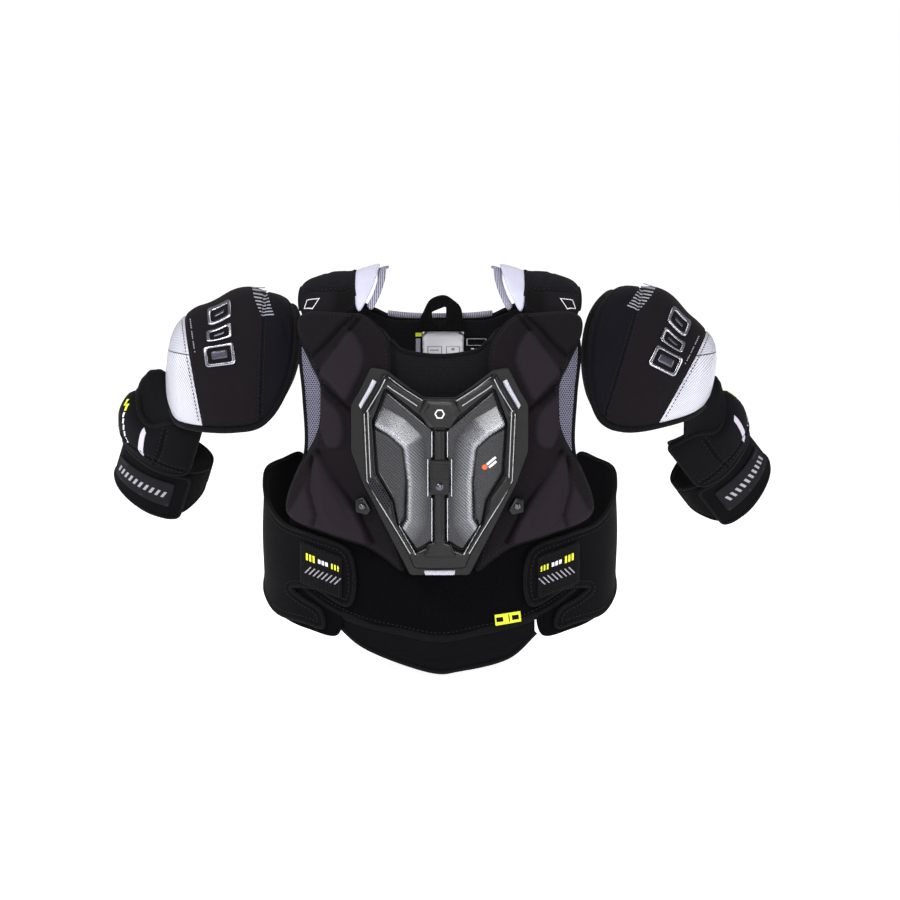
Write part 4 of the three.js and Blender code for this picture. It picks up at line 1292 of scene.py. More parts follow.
def build_window(side, sign):
    """The glossy plate of one side, and the small parts round it."""
    shape = lambda points: sided(points, sign)
    ring = dense(rounded(shrunk(shape(OPENING), 1.3), 2.0), 2.0)
    ridge_at = dense(shape(PLATE_RIDGE), 1.5, closed=False)
    hollow = dense(shape(PLATE_HOLLOW), 1.5)

    def facets(p):
        """A long slope up to the ridge from the spine, then a steep fall into the hollow."""
        away = distance(p, ridge_at)
        slope = np.clip(1 - away / 19, 0, 1)
        drop = smooth(away / 5.5)
        return np.where(inside(p, hollow), PLATE_RISE - (PLATE_RISE + PLATE_SINK) * drop, PLATE_RISE * slope)

    plate = pad(f"carbon_window_{side}", ring, FRONT, 24.2, 21.8, CARBON, step=1.5, rims=(0.4, 1.0, 2.0),
                reach=2.0,
                features=[facets], body="torso", lines=[ridge_at])
    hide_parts(f"sternum_plate_{side}")
    hard(f"accent_bar_{side}", shape(ACCENT_BAR), (21.8, 24.4), ACCENT, "accent", [f"accent_{side}"], 1.2)
    cover = PERFORATED if sign < 0 else PLASTIC
    hard(f"pocket_cover_{side}", shape(INSERT), (29.4, 31), cover, "plate", [f"frame_insert_{side}"], 1.2)
    hard(f"lug_cover_{side}", shape(LUG), (18, 22.6), PLASTIC, "frame", [f"anchor_lug_{side}"], 2.0,
         reach=1.8)
    x, z = RIVET_AT
    head = pad(f"lug_rivet_{side}", ring_round(sign * x, z, 3.4), FRONT, 25.4, 22.2, RIVET, step=0.9,
               rims=(0.3, 0.7), reach=3.2, edge_at=0.2, body="torso")
    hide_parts(f"anchor_rivet_{side}")
    for k, (x0, z0, z1) in enumerate(((7.4, -131, -156), (11.2, -158, -194), (7.4, -196, -238))):
        line = dense([(sign * x0, z0), (sign * x0, z1)], 2.5, closed=False)
        trim = tape_on(f"window_trim_{side}_{k}", FRONT, line, 26.6, oval(1.0, 1.6, 8), TRIM, body="torso")


def build_spine():
    ribs = [ridge_line([(x, -131), (x, -236)], 0.9, 1.0) for x in (-3.4, 3.4)]
    hard("spine_strut", STRUT, (29.6, 33.2), PLASTIC, "frame", ["sternum_spine"], 1.2, reach=2.6, step=1.5,
         features=ribs)
    grooves = [channel(dense(shrunk(HUB, 3.4), 2), 0.7, 0.8, True)]
    hard("spine_hub", HUB, (29.6, 33), PLASTIC, "frame", ["sternum_hub"], 2.0, reach=2.2, step=1.8,
         features=grooves)
    bands = [ridge_line([(-6, z), (6, z)], 1.0, 1.1) for z in (-163, -166.5, -170, -173.5, -177)]
    hard("spine_sleeve_cover", SLEEVE, (34.2, 37), DULL_PLASTIC, "black", ["spine_sleeve"], 2.5, reach=2.4,
         step=1.1,
         features=bands)
    button = pad("spine_button", ring_round(0, -184, 4.2), FRONT, 39.4, 36.4, RIVET, step=0.9,
                 rims=(0.3, 0.8),
                 reach=4.0, edge_at=0.15, body="torso")
    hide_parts("spine_rivet")
    hard("accent_bar_bottom", [(-15, -266.5), (15, -266.5), (14, -271.5), (-14, -271.5)], (21.8, 24.4),
         ACCENT,
         "accent", ["accent_bottom"], 1.2)
    mark = decal("hub_mark", frame_ring(ring_round(0, -113.5, 5.0, 6), 1.3), FRONT, 32.8, WHITE, "torso",
                 0.5, 1.0)
    foot = [bar(0, z, 12 - k * 2, 1.2, 0) for k, z in enumerate((-243, -246, -249))]
    decal("foot_ribs", foot, FRONT, 33.0, DULL_PLASTIC, "torso", 0.6, 1.5)
    badge = height_of("carbon_window_left")
    decal("plate_dot", [ring_round(42, -166, 2.6, 12)], FRONT, badge, ORANGE, "torso", 0.3, 1.0)
    dashes = [bar(48 + k * 1.2, -160 - k * 3.4, 11 - k * 2, 2.2, 42) for k in range(2)]
    decal("plate_dashes", dashes, FRONT, badge, WHITE, "torso", 0.3, 1.5)


# ---------------------------------------------------------------- belly, waist and back

BELLY_TOP = [(-146, -218.5), (-104, -234.5), (-50, -254.5), (0, -258.5), (50, -254.5), (104, -234.5),
             (146, -218.5)]
BELLY_LOW = [(150, -275), (115, -304), (78, -322), (39, -331), (0, -338), (-39, -331), (-78, -322),
             (-115, -304),
             (-150, -275)]
LOW_PAD_TOP = [(-98, -306), (-78, -315), (-39, -324), (0, -331), (39, -324), (78, -315), (94, -308)]
LOW_PAD_END = [(94, -334), (68, -357), (16, -370), (-1, -372), (-47, -359), (-78, -345), (-98, -328)]
STRAP = [(88, -252), (124, -237), (160, -227), (196, -204), (232, -183), (270, -174), (292, -170),
         (292, -225),
         (288, -268), (262, -280), (228, -290), (196, -303), (166, -317), (136, -322), (114, -326),
         (117, -311),
         (138, -299), (150, -290), (124, -288), (88, -303)]
TAB = [(94, -256), (136, -242), (136, -284), (94, -298)]


def build_belly():
    ring = dense([*BELLY_TOP, *BELLY_LOW], 4)
    panel = pad("belly_loop_panel", ring, FRONT, 3.8, 0.2, LOOP, step=5, reach=2.5, body="torso",
                features=[lambda p: 0.9 * np.sin(p[:, 0] / 13) * np.sin(p[:, 1] / 9)])
    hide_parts("belly_panel")
    low = soft(BELLY_LOW, 3, closed=False)
    tape = tape_on("belly_binding", FRONT, low + [0, 1.5], 2.4, oval(8.5, 5.0, 10), BINDING, body="torso")
    inner = low + [0, 7.2]
    rows = seam_lines(FRONT, [inner[8:-8]], 4.2)
    stitches("belly_stitches", rows, THREAD, "torso")
    ring = dense([*LOW_PAD_TOP, *LOW_PAD_END], 3)
    tucked = lambda p: -5.0 * smooth((p[:, 1] - np.interp(np.abs(p[:, 0]), [0, 98], [-341, -320])) / 7)
    flap = pad("belly_low_pad", ring, FRONT, 3.2, -6, NEOPRENE, step=3.5, reach=9, puff=1.0, body="belly_pad",
               features=[channel([(-100, -322), (-46, -347), (0, -357), (60, -345), (94, -325)], 2.0, 1.3),
                         tucked])
    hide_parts("belly_pad")
    end = soft(LOW_PAD_END, 3, closed=False)
    tape = tape_on("belly_pad_binding", FRONT, end + [0, 2.2], -1.0, oval(4.8, 8.5, 10), BINDING,
                   body="belly_pad")
    tag = [(53, -313), (78, -309.5), (79, -320), (54, -324)]
    hard("size_tag_cloth", tag, (4.2, 5.8), LIME, "lime", ["size_tag"], 0.8)
    blocks = [bar(58, -317.6, 6.5, 4.6, 7), bar(67, -316.3, 0.9, 7.5, 7), bar(73, -315.6, 6.5, 4.6, 7)]
    decal("size_tag_blocks", blocks, FRONT, 5.5, TAPE, "torso", 0.45)


def build_straps():
    for side, s in SIDES.items():
        body = f"{side}_waist_strap"
        place = waist(s["sign"])
        ring = soft(STRAP, 3.2)
        name = f"strap_cloth_{side}"
        waves = lambda p: 0.8 * np.sin(p[:, 0] / 21 + 1) * np.sin(p[:, 1] / 17)
        edge = [channel(inset_line(ring, 5.2), 1.1, 0.7)]
        cloth = pad(name, ring, place, 8.6, 5.0, NEOPRENE, step=4.5, reach=3, body=body,
                    features=[waves, *edge])
        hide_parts(f"waist_strap_{side}")
        tape = tape_on(f"strap_binding_{side}", place, ring, 7.0, oval(4.2, 4.8, 8), BINDING, closed=True,
                       body=body)
        level = height_of(name)
        lines = [surface_line(place, r, level(r[:, 0], r[:, 1]) + 0.2) for r in runs(inset_line(ring, 5.2))]
        stitches(f"strap_stitches_{side}", lines, THREAD, body)
        facing = [(98, -296), (146, -284), (196, -284), (192, -308), (164, -321), (132, -330), (100, -334)]
        inside_cloth = pad(f"strap_facing_{side}", soft(facing, 3), place, 4.6, 2.6, LOOP, step=5, reach=2,
                           body=body)
        tab_ring = dense(rounded(TAB, 3), 2.5)
        tab = pad(f"tab_cloth_{side}", tab_ring, place, 11.6, 9.4, TAPE, step=3, rims=(0.5, 1.2), reach=1.6,
                  body=body)
        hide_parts(f"strap_tab_{side}")
        line = inset_line(tab_ring, 2.4)
        edge_line = surface_line(place, np.vstack([line, line[:1]]), 11.75)
        stitches(f"tab_stitches_{side}", [edge_line], THREAD, body, 2.0, 1.2, 0.5, 0.35)
        build_tab_print(side, place, body)


def build_tab_print(side, place, body):
    """Plain bars where the maker's wording was: lime, white, lime, and a row of slanted strokes."""
    slope = 18.5
    row = lambda k: (131 - k, -256.5 - k * math.tan(math.radians(slope)))
    lime = [bar(*row(3.0 + 3.4 * k), 2.2, 6.4, slope, 0.35) for k in range(3)]
    lime += [bar(*row(28 + 3.0 * k), 1.6, 5.0, slope, 0.35) for k in range(3)]
    white = [bar(*row(15.5 + 3.6 * k), 2.6, 3.8, slope, 0.35) for k in range(3)]
    strokes = [bar(127 - 4.2 * k, -270.5 - 1.4 * k, 1.3, 7.6, slope, -0.5) for k in range(8)]
    decal(f"tab_lime_{side}", lime, place, 11.6, LIME, body, 0.3)
    decal(f"tab_white_{side}", white, place, 11.6, WHITE, body, 0.3)
    decal(f"tab_strokes_{side}", strokes, place, 11.6, GREY, body, 0.3)


BACK_LINER = [(0, -34), (-48, -34), (-66, -27), (-84, -20), (-108, -20), (-124, -32), (-124, -60),
              (-118, -110),
              (-122, -160), (-128, -175), (-128, -304), (-108, -316), (-50, -320), (0, -320)]
UPPER_PLATE = [(-30, -60), (30, -60), (42, -85), (34, -165), (-34, -165), (-42, -85)]
LOWER_PLATE = [(-32, -170), (32, -170), (40, -200), (24, -270), (-24, -270), (-40, -200)]
PLATE_Y = (101.4, 105.4)


def build_back():
    ring = soft(whole(BACK_LINER), 4.5)
    liner = pad("back_liner_cloth", ring, BACK, 3.4, 0.2, MESH_BLACK, step=7, rims=(1.5,), reach=2,
                body="torso")
    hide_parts("back_liner")
    half = [(x * 0.97, z + 2 if z < -200 else z - 1) for x, z in BACK_LINER]
    ring = soft(whole(half), 3)
    quilt = [[(0, -280), (0, -40)]]
    for sign in (1, -1):
        quilt += [sided([(52, -60), (58, -100), (46, -165), (54, -205), (34, -290)], sign),
                  sided([(52, -60), (96, -45)], sign), sided([(58, -100), (112, -96)], sign),
                  sided([(46, -165), (112, -150)], sign), sided([(54, -205), (118, -215)], sign),
                  sided([(44, -255), (118, -270)], sign)]
    quilt = [dense(q, 2.5, closed=False) for q in quilt]
    name = "back_panel_cloth"
    panel = pad(name, ring, BACK, 14.6, 4.8, BLACK, step=3.6, reach=8, puff=1.0, body="torso",
                features=[channel(q, 2.4, 3.2) for q in quilt[1:]], lines=quilt[1:])
    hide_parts("back_panel")
    tape = tape_on("back_binding", BACK, ring, 8.0, oval(5.0, 7.0, 10), BINDING, closed=True, body="torso")
    level = height_of(name)
    rows = []
    for q in quilt[1:]:
        for shift in (-2.6, 2.6):
            step = np.gradient(q, axis=0)
            step /= np.linalg.norm(step, axis=1, keepdims=True)
            moved = q + np.stack([-step[:, 1], step[:, 0]], axis=-1) * shift
            rows.append(surface_line(BACK, moved, level(moved[:, 0], moved[:, 1]) + 0.15))
    stitches("back_stitches", rows, THREAD, "torso")
    build_back_plates()


def slab(u, v, off):
    """A flat upright wall behind the back panel; off counts from its inner face."""
    u, v, off = np.broadcast_arrays(np.asarray(u, float), np.asarray(v, float), np.asarray(off, float))
    return np.stack([u, PLATE_Y[0] + off, v], axis=-1)


def build_back_plates():
    thick = PLATE_Y[1] - PLATE_Y[0]
    for name, outline, middle, node in (("spine_plate_upper", UPPER_PLATE, -112, "back_plate_upper"),
                                        ("spine_plate_lower", LOWER_PLATE, -218, "back_plate_lower")):
        ring = dense(rounded(outline, 6), 2.5)
        ribs = [ridge_line([(-22, middle + 26 * k), (0, middle + 26 * k - 9), (22, middle + 26 * k)], 2.4,
                           1.6)
                for k in (-1, 0, 1)]
        slots = [rounded([(x - 3, middle + z - 6), (x + 3, middle + z - 6), (x + 3, middle + z + 6),
                          (x - 3, middle + z + 6)], 2.6) for x in (-25, 25) for z in (-20, 20)]
        plate = pad(name, ring, slab, thick - 0.6, 0, SHELL_PLASTIC, step=2.8, rims=(0.5, 1.2, 2.2),
                    reach=2.4,
                    holes=slots, features=ribs, body="torso")
        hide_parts(node)


def build_collar():
    """The pale trim inside the neck: a ribbed tape on the back edge, and a strip up each shoulder."""
    top = soft([(-52, -31), (-30, -33), (0, -33.5), (30, -33), (52, -31)], 3, closed=False)
    tape = tape_on("collar_tape", BACK, top, 8.0, oval(7.5, 5.5, 10), COLLAR, body="torso")
    for side, s in SIDES.items():
        place = arch(s["sign"])
        strip = [(60, 100), (62, 82), (62, 66), (66, 54), (71, 46), (67, 43), (59, 52), (54, 66), (53, 82),
                 (52, 100)]
        cloth = pad(f"collar_strip_{side}", soft(on_arch(strip), 2.4), place, 3.2, 0.8, COLLAR, step=3,
                    rims=(0.6,),
                    reach=1.8, body="torso")


def build_labels():
    inward = lambda u, v, off: BACK(u, v, -np.asarray(off, float))
    label = pad("care_label_cloth", dense([(-18, -46), (24, -46), (24, -72), (-18, -72)], 3), inward, 1.3,
                0.6, LABEL,
                step=4, rims=(), reach=0.5, body="torso", features=[lambda p: 0.4 * np.sin(p[:, 0] / 6)])
    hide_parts("care_label")
    marks = frame_ring([(-13, -61), (2, -61), (2, -69), (-13, -69)], 1.0)
    marks += frame_ring([(6, -61), (20, -61), (20, -69), (6, -69)], 1.0)
    marks += [bar(13, -64, 3.4, 2.4, 0), bar(-6, -65, 9, 1.0, 0)]
    printed = decal("care_label_marks", marks, inward, 1.5, GREY, "torso", 0.2)
    patch = pad("size_patch_cloth", dense([(26, -52), (48, -52), (48, -66), (26, -66)], 3), inward, 1.3,
                0.6, TAPE,
                step=4, rims=(), reach=0.5, body="torso")
    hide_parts("size_patch")
    box = frame_ring([(27, -53), (47, -53), (47, -60), (27, -60)], 0.7)
    box += [bar(33 + 5 * k, -63.5, 3, 1.0, 0) for k in range(3)]
    decal("size_patch_box", box, inward, 1.4, WHITE, "torso", 0.2)
    side = [bar(-22, -49, 6, 3.6, 0)]
    decal("lime_mark", side, inward, 0.8, LIME, "torso", 0.3)
    strip = [bar(-22.5, -62, 4.5, 18, 0)]
    decal("grey_mark", strip, inward, 0.8, GREY, "torso", 0.3)


LOOP_BAND = [(-22, -44), (23, -44), (23, -36), (22, -20), (5, -7), (-11, -12), (-22, -36)]
LOOP_GAP = [(-9, -26), (6, -20), (6, -37), (-6, -37)]


def build_hang_loop():
    flat = lambda u, v, off: np.stack(np.broadcast_arrays(np.asarray(u, float), 71.6 - np.asarray(off, float),
                                                          np.asarray(v, float)), axis=-1)
    ring = dense(rounded(LOOP_BAND, 7), 1.8)
    gap = dense(rounded(LOOP_GAP, 2.5), 1.8)
    fold = [channel([(-17, -38), (-9, -20), (5, -13), (15, -24), (15, -38)], 1.2, 0.5)]
    tape = pad("hang_loop_tape", ring, flat, 1.1, -1.1, TAPE, step=2, rims=(0.4, 0.9), reach=1.0, holes=[gap],
               features=fold, body="hang_loop")
    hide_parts("hang_loop")
    box = [np.array([(-19, -42), (20, -42)]), np.array([(-19, -39.5), (20, -39.5)])]
    stitches("hang_loop_stitches", seam_lines(flat, box, 1.2), THREAD, "hang_loop", 2.0, 1.2, 0.5,
                     0.3)


# ---------------------------------------------------------------- collar and shoulders

WING = [(62, 104), (70, 108), (81, 104), (84, 66), (84, 50), (79, 42), (71, 50), (63, 66)]
YOKE = [(84, 45), (94, 41.5), (118, 41), (134, 46), (138, 90), (134, 120), (112, 126), (92, 124), (82, 114),
        (84, 90), (85, 66)]


def on_arch(points):
    """Outline points of (distance from the middle, degrees over the shoulder) as the arch map wants them."""
    return [(x, math.radians(turn) * ARC_MM) for x, turn in points]


def yoke_slope(p):
    """The yoke gets thinner towards the neck."""
    return -4.5 * smooth((112 - p[:, 0]) / 30)


def build_shoulders():
    for side, s in SIDES.items():
        place = arch(s["sign"])
        ring = soft(on_arch(YOKE), 2.6)
        name = f"yoke_cloth_{side}"
        seam = dense(on_arch([(86, 62), (96, 58), (114, 60), (136, 66)]), 2.5, closed=False)
        arc = dense(on_arch([(106, 120), (112, 100), (110, 80), (104, 64)]), 2.5, closed=False)
        cloth = pad(name, ring, place, 13, 1.0, [NAVY, CHEST], step=3, reach=12, edge_at=0.45, puff=1.5,
                    features=[channel(seam, 1.8, 1.6), channel(arc, 2.2, 1.2), yoke_slope], lines=[seam],
                    body="torso")
        limit = math.radians(60) * ARC_MM
        paint(cloth, lambda x, walk: walk < limit)
        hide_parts(f"yoke_pad_{side}")
        sewn = ring[ring[:, 1] > math.radians(52) * ARC_MM]
        first = int(np.argmax(np.linalg.norm(np.roll(sewn, 1, axis=0) - sewn, axis=1)))
        edge = np.roll(sewn, -first, axis=0)
        piping = tape_on(f"yoke_piping_{side}", place, edge, 6.6, oval(3.2, 3.2, 8), PIPING, body="torso")
        level = height_of(name)
        row = surface_line(place, seam + [0, 1.8], level(seam[:, 0], seam[:, 1] + 1.8) + 0.1)
        stitches(f"yoke_stitches_{side}", [row], THREAD, "torso")
        mark = on_arch([(118, 54), (131, 56), (134, 50), (125, 47)])
        outline = decal(f"yoke_mark_{side}", frame_ring(mark, 1.2), place, level, WHITE, "torso", 0.3, 1.2)
        wing = pad(f"wing_cloth_{side}", soft(on_arch(WING), 2.4), place, 7.6, 4.6, LINING, step=3,
                   rims=(0.6, 1.4),
                   reach=2.2, puff=0.6, body="torso")
        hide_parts(f"collar_wing_{side}")


# ---------------------------------------------------------------- shoulder caps

SKIN_IN, SKIN_OUT = -2.4, 0.0
LINER_IN, LINER_OUT = -14.0, -9.6
VISOR_AT = {"right": 36.5, "left": 31.0}
PANEL_AT, PANEL_TILT = -34.0, 12.5
CAP_ARC = [(-52, 43), (-60, 28), (-62, 8)]


def visor_distance(p, side):
    return p[..., 0] - VISOR_AT[side]


def panel_distance(p):
    """Distance outward from the seam of the inner panel, a plane that leans with the cap."""
    a = math.radians(PANEL_TILT)
    return (p[..., 0] - PANEL_AT) * math.cos(a) + p[..., 2] * math.sin(a)


def cap_puff(p, side):
    """How far the cloth stands over the plain dome, in the cap's own frame."""
    seams = np.minimum(np.abs(visor_distance(p, side)), np.abs(panel_distance(p)))
    swell = 1.8 * smooth(seams / 16)
    groove = -1.6 * np.exp(-(seams / 1.5) ** 2)
    flat = np.stack([p[..., 0], p[..., 2]], axis=-1).reshape(-1, 2)
    arc = np.exp(-(distance(flat, soft(CAP_ARC, 3, closed=False)) / 1.8) ** 2).reshape(p.shape[:-1])
    return swell + groove - 1.2 * arc * (p[..., 0] < -44) * (p[..., 1] < 0)


def cap_grid(side, columns, rows, off_out, off_in, puff=True):
    """Points of a closed cup: the outer grid, then the inner one, each with a pole first."""
    bearings = np.arange(columns) * 2 * math.pi / columns
    rims = cap_rim(bearings, side)
    layers, fabs = [], []
    for off in (off_out, off_in):
        share = np.arange(1, rows + 1) / rows
        fall = share[:, None] * rims[None, :]
        bearing = np.broadcast_to(bearings, fall.shape)
        local = cap_local(bearing, fall, np.full(fall.shape, float(off)))
        pole = cap_local(np.zeros(1), np.zeros(1), np.full(1, float(off)))
        spots = np.concatenate([pole, local.reshape(-1, 3)])
        if puff and off == off_out:
            lift = cap_puff(spots, side)
            edge = np.concatenate([[1.0],
                                   np.broadcast_to(((1 - share) * rows / 6)[:, None], fall.shape).ravel()])
            direction = spots + np.array([0, 0, CAP_SINK])
            direction /= np.linalg.norm(direction, axis=1, keepdims=True)
            spots = spots + direction * (lift * smooth(edge))[:, None]
        layers.append(spots)
        reach = fall * 118
        cloth = np.stack([-np.cos(bearing) * reach, -np.sin(bearing) * reach], axis=-1).reshape(-1, 2)
        fabs.append(np.concatenate([[[0, 0]], cloth]))
    return np.concatenate(layers), np.concatenate(fabs)


def cup_faces(columns, rows):
    count = 1 + columns * rows
    faces = []

    def spot(layer, row, column):
        return layer * count + 1 + row * columns + column % columns

    for layer in (0, 1):
        for c in range(columns):
            tri = (layer * count, spot(layer, 0, c), spot(layer, 0, c + 1))
            faces.append(tri if layer == 0 else tri[::-1])
            for r in range(rows - 1):
                quad = (spot(layer, r, c), spot(layer, r + 1, c), spot(layer, r + 1, c + 1),
                        spot(layer, r, c + 1))
                faces.append(quad if layer == 0 else quad[::-1])
    for c in range(columns):
        faces.append((spot(0, rows - 1, c), spot(1, rows - 1, c), spot(1, rows - 1, c + 1),
                      spot(0, rows - 1, c + 1)))
    return faces


def cut(verts, faces, fab, plane_at, plane_normal, name, material):
    """The part of a closed cup that lies on the far side of a plane, with its cut edge closed."""
    mesh = bpy.data.meshes.new(name)
    mesh.from_pydata(verts.tolist(), [], faces)
    layer = mesh.attributes.new("fab", "FLOAT_VECTOR", "POINT")
    flat = np.zeros((len(verts), 3), np.float32)
    flat[:, :2] = fab
    layer.data.foreach_set("vector", flat.ravel())
    bm = bmesh.new()
    bm.from_mesh(mesh)
    for at, normal in zip(plane_at, plane_normal):
        every = bm.verts[:] + bm.edges[:] + bm.faces[:]
        bmesh.ops.bisect_plane(bm, geom=every, plane_co=at, plane_no=normal, clear_inner=True, dist=1e-4)
        open_edges = [e for e in bm.edges if e.is_boundary]
        bmesh.ops.bridge_loops(bm, edges=open_edges)
    bmesh.ops.recalc_face_normals(bm, faces=bm.faces)
    bm.to_mesh(mesh)
    bm.free()
    mesh.polygons.foreach_set("use_smooth", [True] * len(mesh.polygons))
    mesh.materials.append(material)
    obj = bpy.data.objects.new(name, mesh)
    bpy.context.scene.collection.objects.link(obj)
    return obj


def place_cap(obj, side):
    """Moves a piece made in the cap's own frame to the body, in metres."""
    co = np.zeros(len(obj.data.vertices) * 3)
    obj.data.vertices.foreach_get("co", co)
    at = cap_to_body(co.reshape(-1, 3), side) * MM
    obj.data.vertices.foreach_set("co", at.ravel())
    if SIDES[side]["sign"] < 0:
        obj.data.flip_normals()
    obj.data.update()
    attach(obj, f"{side}_cap")
    return obj


def build_cap(side):
    body = f"{side}_cap"
    columns, rows = 168, 84
    verts, fab = cap_grid(side, columns, rows, SKIN_OUT, SKIN_IN)
    faces = cup_faces(columns, rows)
    a = math.radians(PANEL_TILT)
    panel_at, panel_out = (PANEL_AT, 0, 0), (math.cos(a), 0, math.sin(a))
    visor_at, visor_out = (VISOR_AT[side], 0, 0), (1, 0, 0)
    back = lambda v: tuple(-x for x in v)
    inner = cut(verts, faces, fab, [panel_at], [back(panel_out)], f"cap_panel_{side}", NAVY)
    main = cut(verts, faces, fab, [panel_at, visor_at], [panel_out, back(visor_out)], f"cap_main_{side}",
               CAP_CLOTH)
    visor = cut(verts, faces, fab, [visor_at], [visor_out], f"cap_silver_{side}", SILVER)
    for piece in (inner, main, visor):
        place_cap(piece, side)
    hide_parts(f"cap_cover_{side}")
    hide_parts(f"cap_visor_{side}")
    verts, fab = cap_grid(side, 96, 48, LINER_OUT, LINER_IN, puff=False)
    liner = mesh_object(f"cap_lining_{side}", cap_to_body(verts, side), cup_faces(96, 48), MESH_LINER, fab)
    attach(liner, body)
    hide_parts(f"cap_liner_{side}")
    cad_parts[f"cap_shell_{side}"].data.materials.clear()
    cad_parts[f"cap_shell_{side}"].data.materials.append(SHELL_PLASTIC)
    build_cap_trim(side, body)
    build_cap_prints(side, body)


def build_cap_trim(side, body):
    bearing = np.arange(200) * 2 * math.pi / 200
    fall = cap_rim(bearing, side) + 0.045
    path = cap_to_body(cap_local(bearing, fall, np.full(200, -6.6)), side)
    out = cap_to_body(cap_local(bearing, fall, np.full(200, -5.6)), side) - path
    out /= np.linalg.norm(out, axis=1, keepdims=True)
    turns = [2 * math.pi * k / 14 for k in range(14)]
    section = [(3.6 * math.copysign(abs(math.cos(t)) ** 0.8, math.cos(t)),
                8.0 * math.copysign(abs(math.sin(t)) ** 0.7, math.sin(t))) for t in turns]
    rim = sweep(f"cap_rim_{side}", path, out, section, BINDING, closed=True)
    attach(rim, body)
    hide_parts(f"cap_binding_{side}")
    seams = []
    a = math.radians(PANEL_TILT)
    for at, lean in ((VISOR_AT[side] - 2.6, 0.0), (VISOR_AT[side] + 2.6, 0.0), (PANEL_AT - 2.4, a),
                     (PANEL_AT + 2.4, a)):
        v = np.arange(-62.0, 62.0, 3.0)
        u = at - v * math.tan(lean)
        local = cap_front_local(u, v)
        keep = (local[:, 1] < -12) & above_rim(local, side, 0.05)
        lift = cap_puff(local, side)
        seams.append(surface_line(cap_front(side), np.stack([u, v], axis=-1)[keep], lift[keep] + 0.1))
    stitches(f"cap_stitches_{side}", seams, THREAD, body, 2.2, 1.3)


def above_rim(p, side, margin):
    """Which places of the dome lie inside its rim, by more than margin radians."""
    q = p + np.array([0, 0, CAP_SINK])
    fall = np.arctan2(np.hypot(q[..., 0], q[..., 1]), q[..., 2])
    return fall < cap_rim(np.arctan2(-q[..., 1], -q[..., 0]), side) - margin


def build_cap_prints(side, body):
    place = cap_front(side)

    def level(u, v):
        return cap_puff(cap_front_local(np.asarray(u, float), np.asarray(v, float)), side) + 0.1

    lifted = lambda u, v, off: place(u, v, np.asarray(off, float) + level(u, v))
    for k, (u, v, wide, high) in enumerate(((1, 54, 12.5, 9), (4, 33, 13, 9.5), (7, 8, 15, 12))):
        tile = [(u - wide, v - high), (u + wide, v - high + 2), (u + wide - 1, v + high),
                (u - wide - 1, v + high - 2)]
        outer = dense(rounded(tile, 4), 1.4)
        inner = shrunk_ring(tile, 3.6, 2.4)
        block = pad(f"cap_block_{side}_{k}", outer, lifted, 1.5, -0.4, CHROME, step=1.3, rims=(0.4, 0.9),
                    reach=1.3,
                    holes=[inner], body=body)
        core = pad(f"cap_core_{side}_{k}", shrunk_ring(tile, 7.4, 1.6), lifted, 1.2, -0.4, CHROME_DARK,
                   step=1.3,
                   rims=(0.4,), reach=1.0, body=body)
    strokes = [bar(-46 + 0.7 * k, 37 + 3.3 * k, 14.5 - 0.4 * abs(k - 5), 1.0, 14, 0.3) for k in range(9)]
    decal(f"cap_strokes_{side}", strokes, place, level, GREY, body, 0.25)
    dots = [bar(VISOR_AT[side] - 6.5, 52 - 2.0 * k, 1.0, 1.1, 0) for k in range(19) if k % 6 != 5]
    decal(f"cap_dots_{side}", dots, place, level, GREY, body, 0.25, 1.5)


def shrunk_ring(corners, amount, radius):
    """A four-sided tile with its sides moved inward by amount, and rounded corners."""
    p = np.array(corners, float)
    middle = p.mean(0)
    half = np.array([np.ptp(p[:, 0]) / 2, np.ptp(p[:, 1]) / 2])
    return dense(rounded(middle + (p - middle) * (1 - amount / half), radius), 1.4)


# ---------------------------------------------------------------- bicep guards

LINER_TOP = [(-125, 56), (-60, 54), (-15, 14), (15, 10), (40, 16), (62, 12), (85, -6), (125, -10)]
GUARD_TOP = [(-98, 48), (-60, 46), (-15, -2), (15, -6), (40, 10), (62, 12), (82, -4), (104, -8), (118, -8)]
GUARD_END = [(-98, 58), (0, 50), (50, 50), (86, 53), (118, 50)]
FLAP_TOP = [(-70, 58.5), (0, 52), (50, 52), (86, 55), (125, 55)]
STRAP_END = [(-168, 78), (-60, 86), (0, 88), (50, 95), (88, 101), (114, 102), (132, 98), (168, 78)]
FLAP_END = [(-70, 88), (0, 90), (50, 97), (88, 103), (114, 104), (125, 102)]
LINER_END = [(-125, 76), (0, 83), (50, 90), (88, 96), (125, 94)]
PATCH_CORNERS = [(24, 62), (108, 63), (108, 91), (24, 84)]


def round_arm(bearing, down):
    return (math.radians(bearing) * ARM_ARC, -down)


def arm_outline(top, end, step=3.0, corner=6.0):
    """A ring from the tables of an upper and a lower edge, for the arm map."""
    upper = [round_arm(b, d) for b, d in top]
    lower = [round_arm(b, d) for b, d in end[::-1]]
    return dense(rounded([*upper, *lower], corner), step)


def build_arm(side):
    body = f"{side}_bicep"
    place = arm(side)
    liner_ring = arm_outline(LINER_TOP, LINER_END, 4)
    liner = pad(f"arm_lining_{side}", liner_ring, place, 40.2, 37.2, MESH_LINER, step=6, rims=(1.2,),
                reach=2, body=body)
    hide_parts(f"bicep_liner_{side}")
    strap_ring = arm_outline([(-166, 50), (0, 50), (166, 50)], STRAP_END, 4)
    strap = pad(f"arm_strap_{side}", strap_ring, place, 44.2, 41.4, NEOPRENE, step=6, rims=(1.2,), reach=2,
                body=body)
    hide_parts(f"bicep_strap_{side}")
    tape = tape_on(f"arm_strap_binding_{side}", place, strap_ring, 43, oval(4, 4, 8), BINDING, closed=True,
                   body=body)
    build_guard(side, body, place)
    build_gusset(side)
    build_flap(side, place)


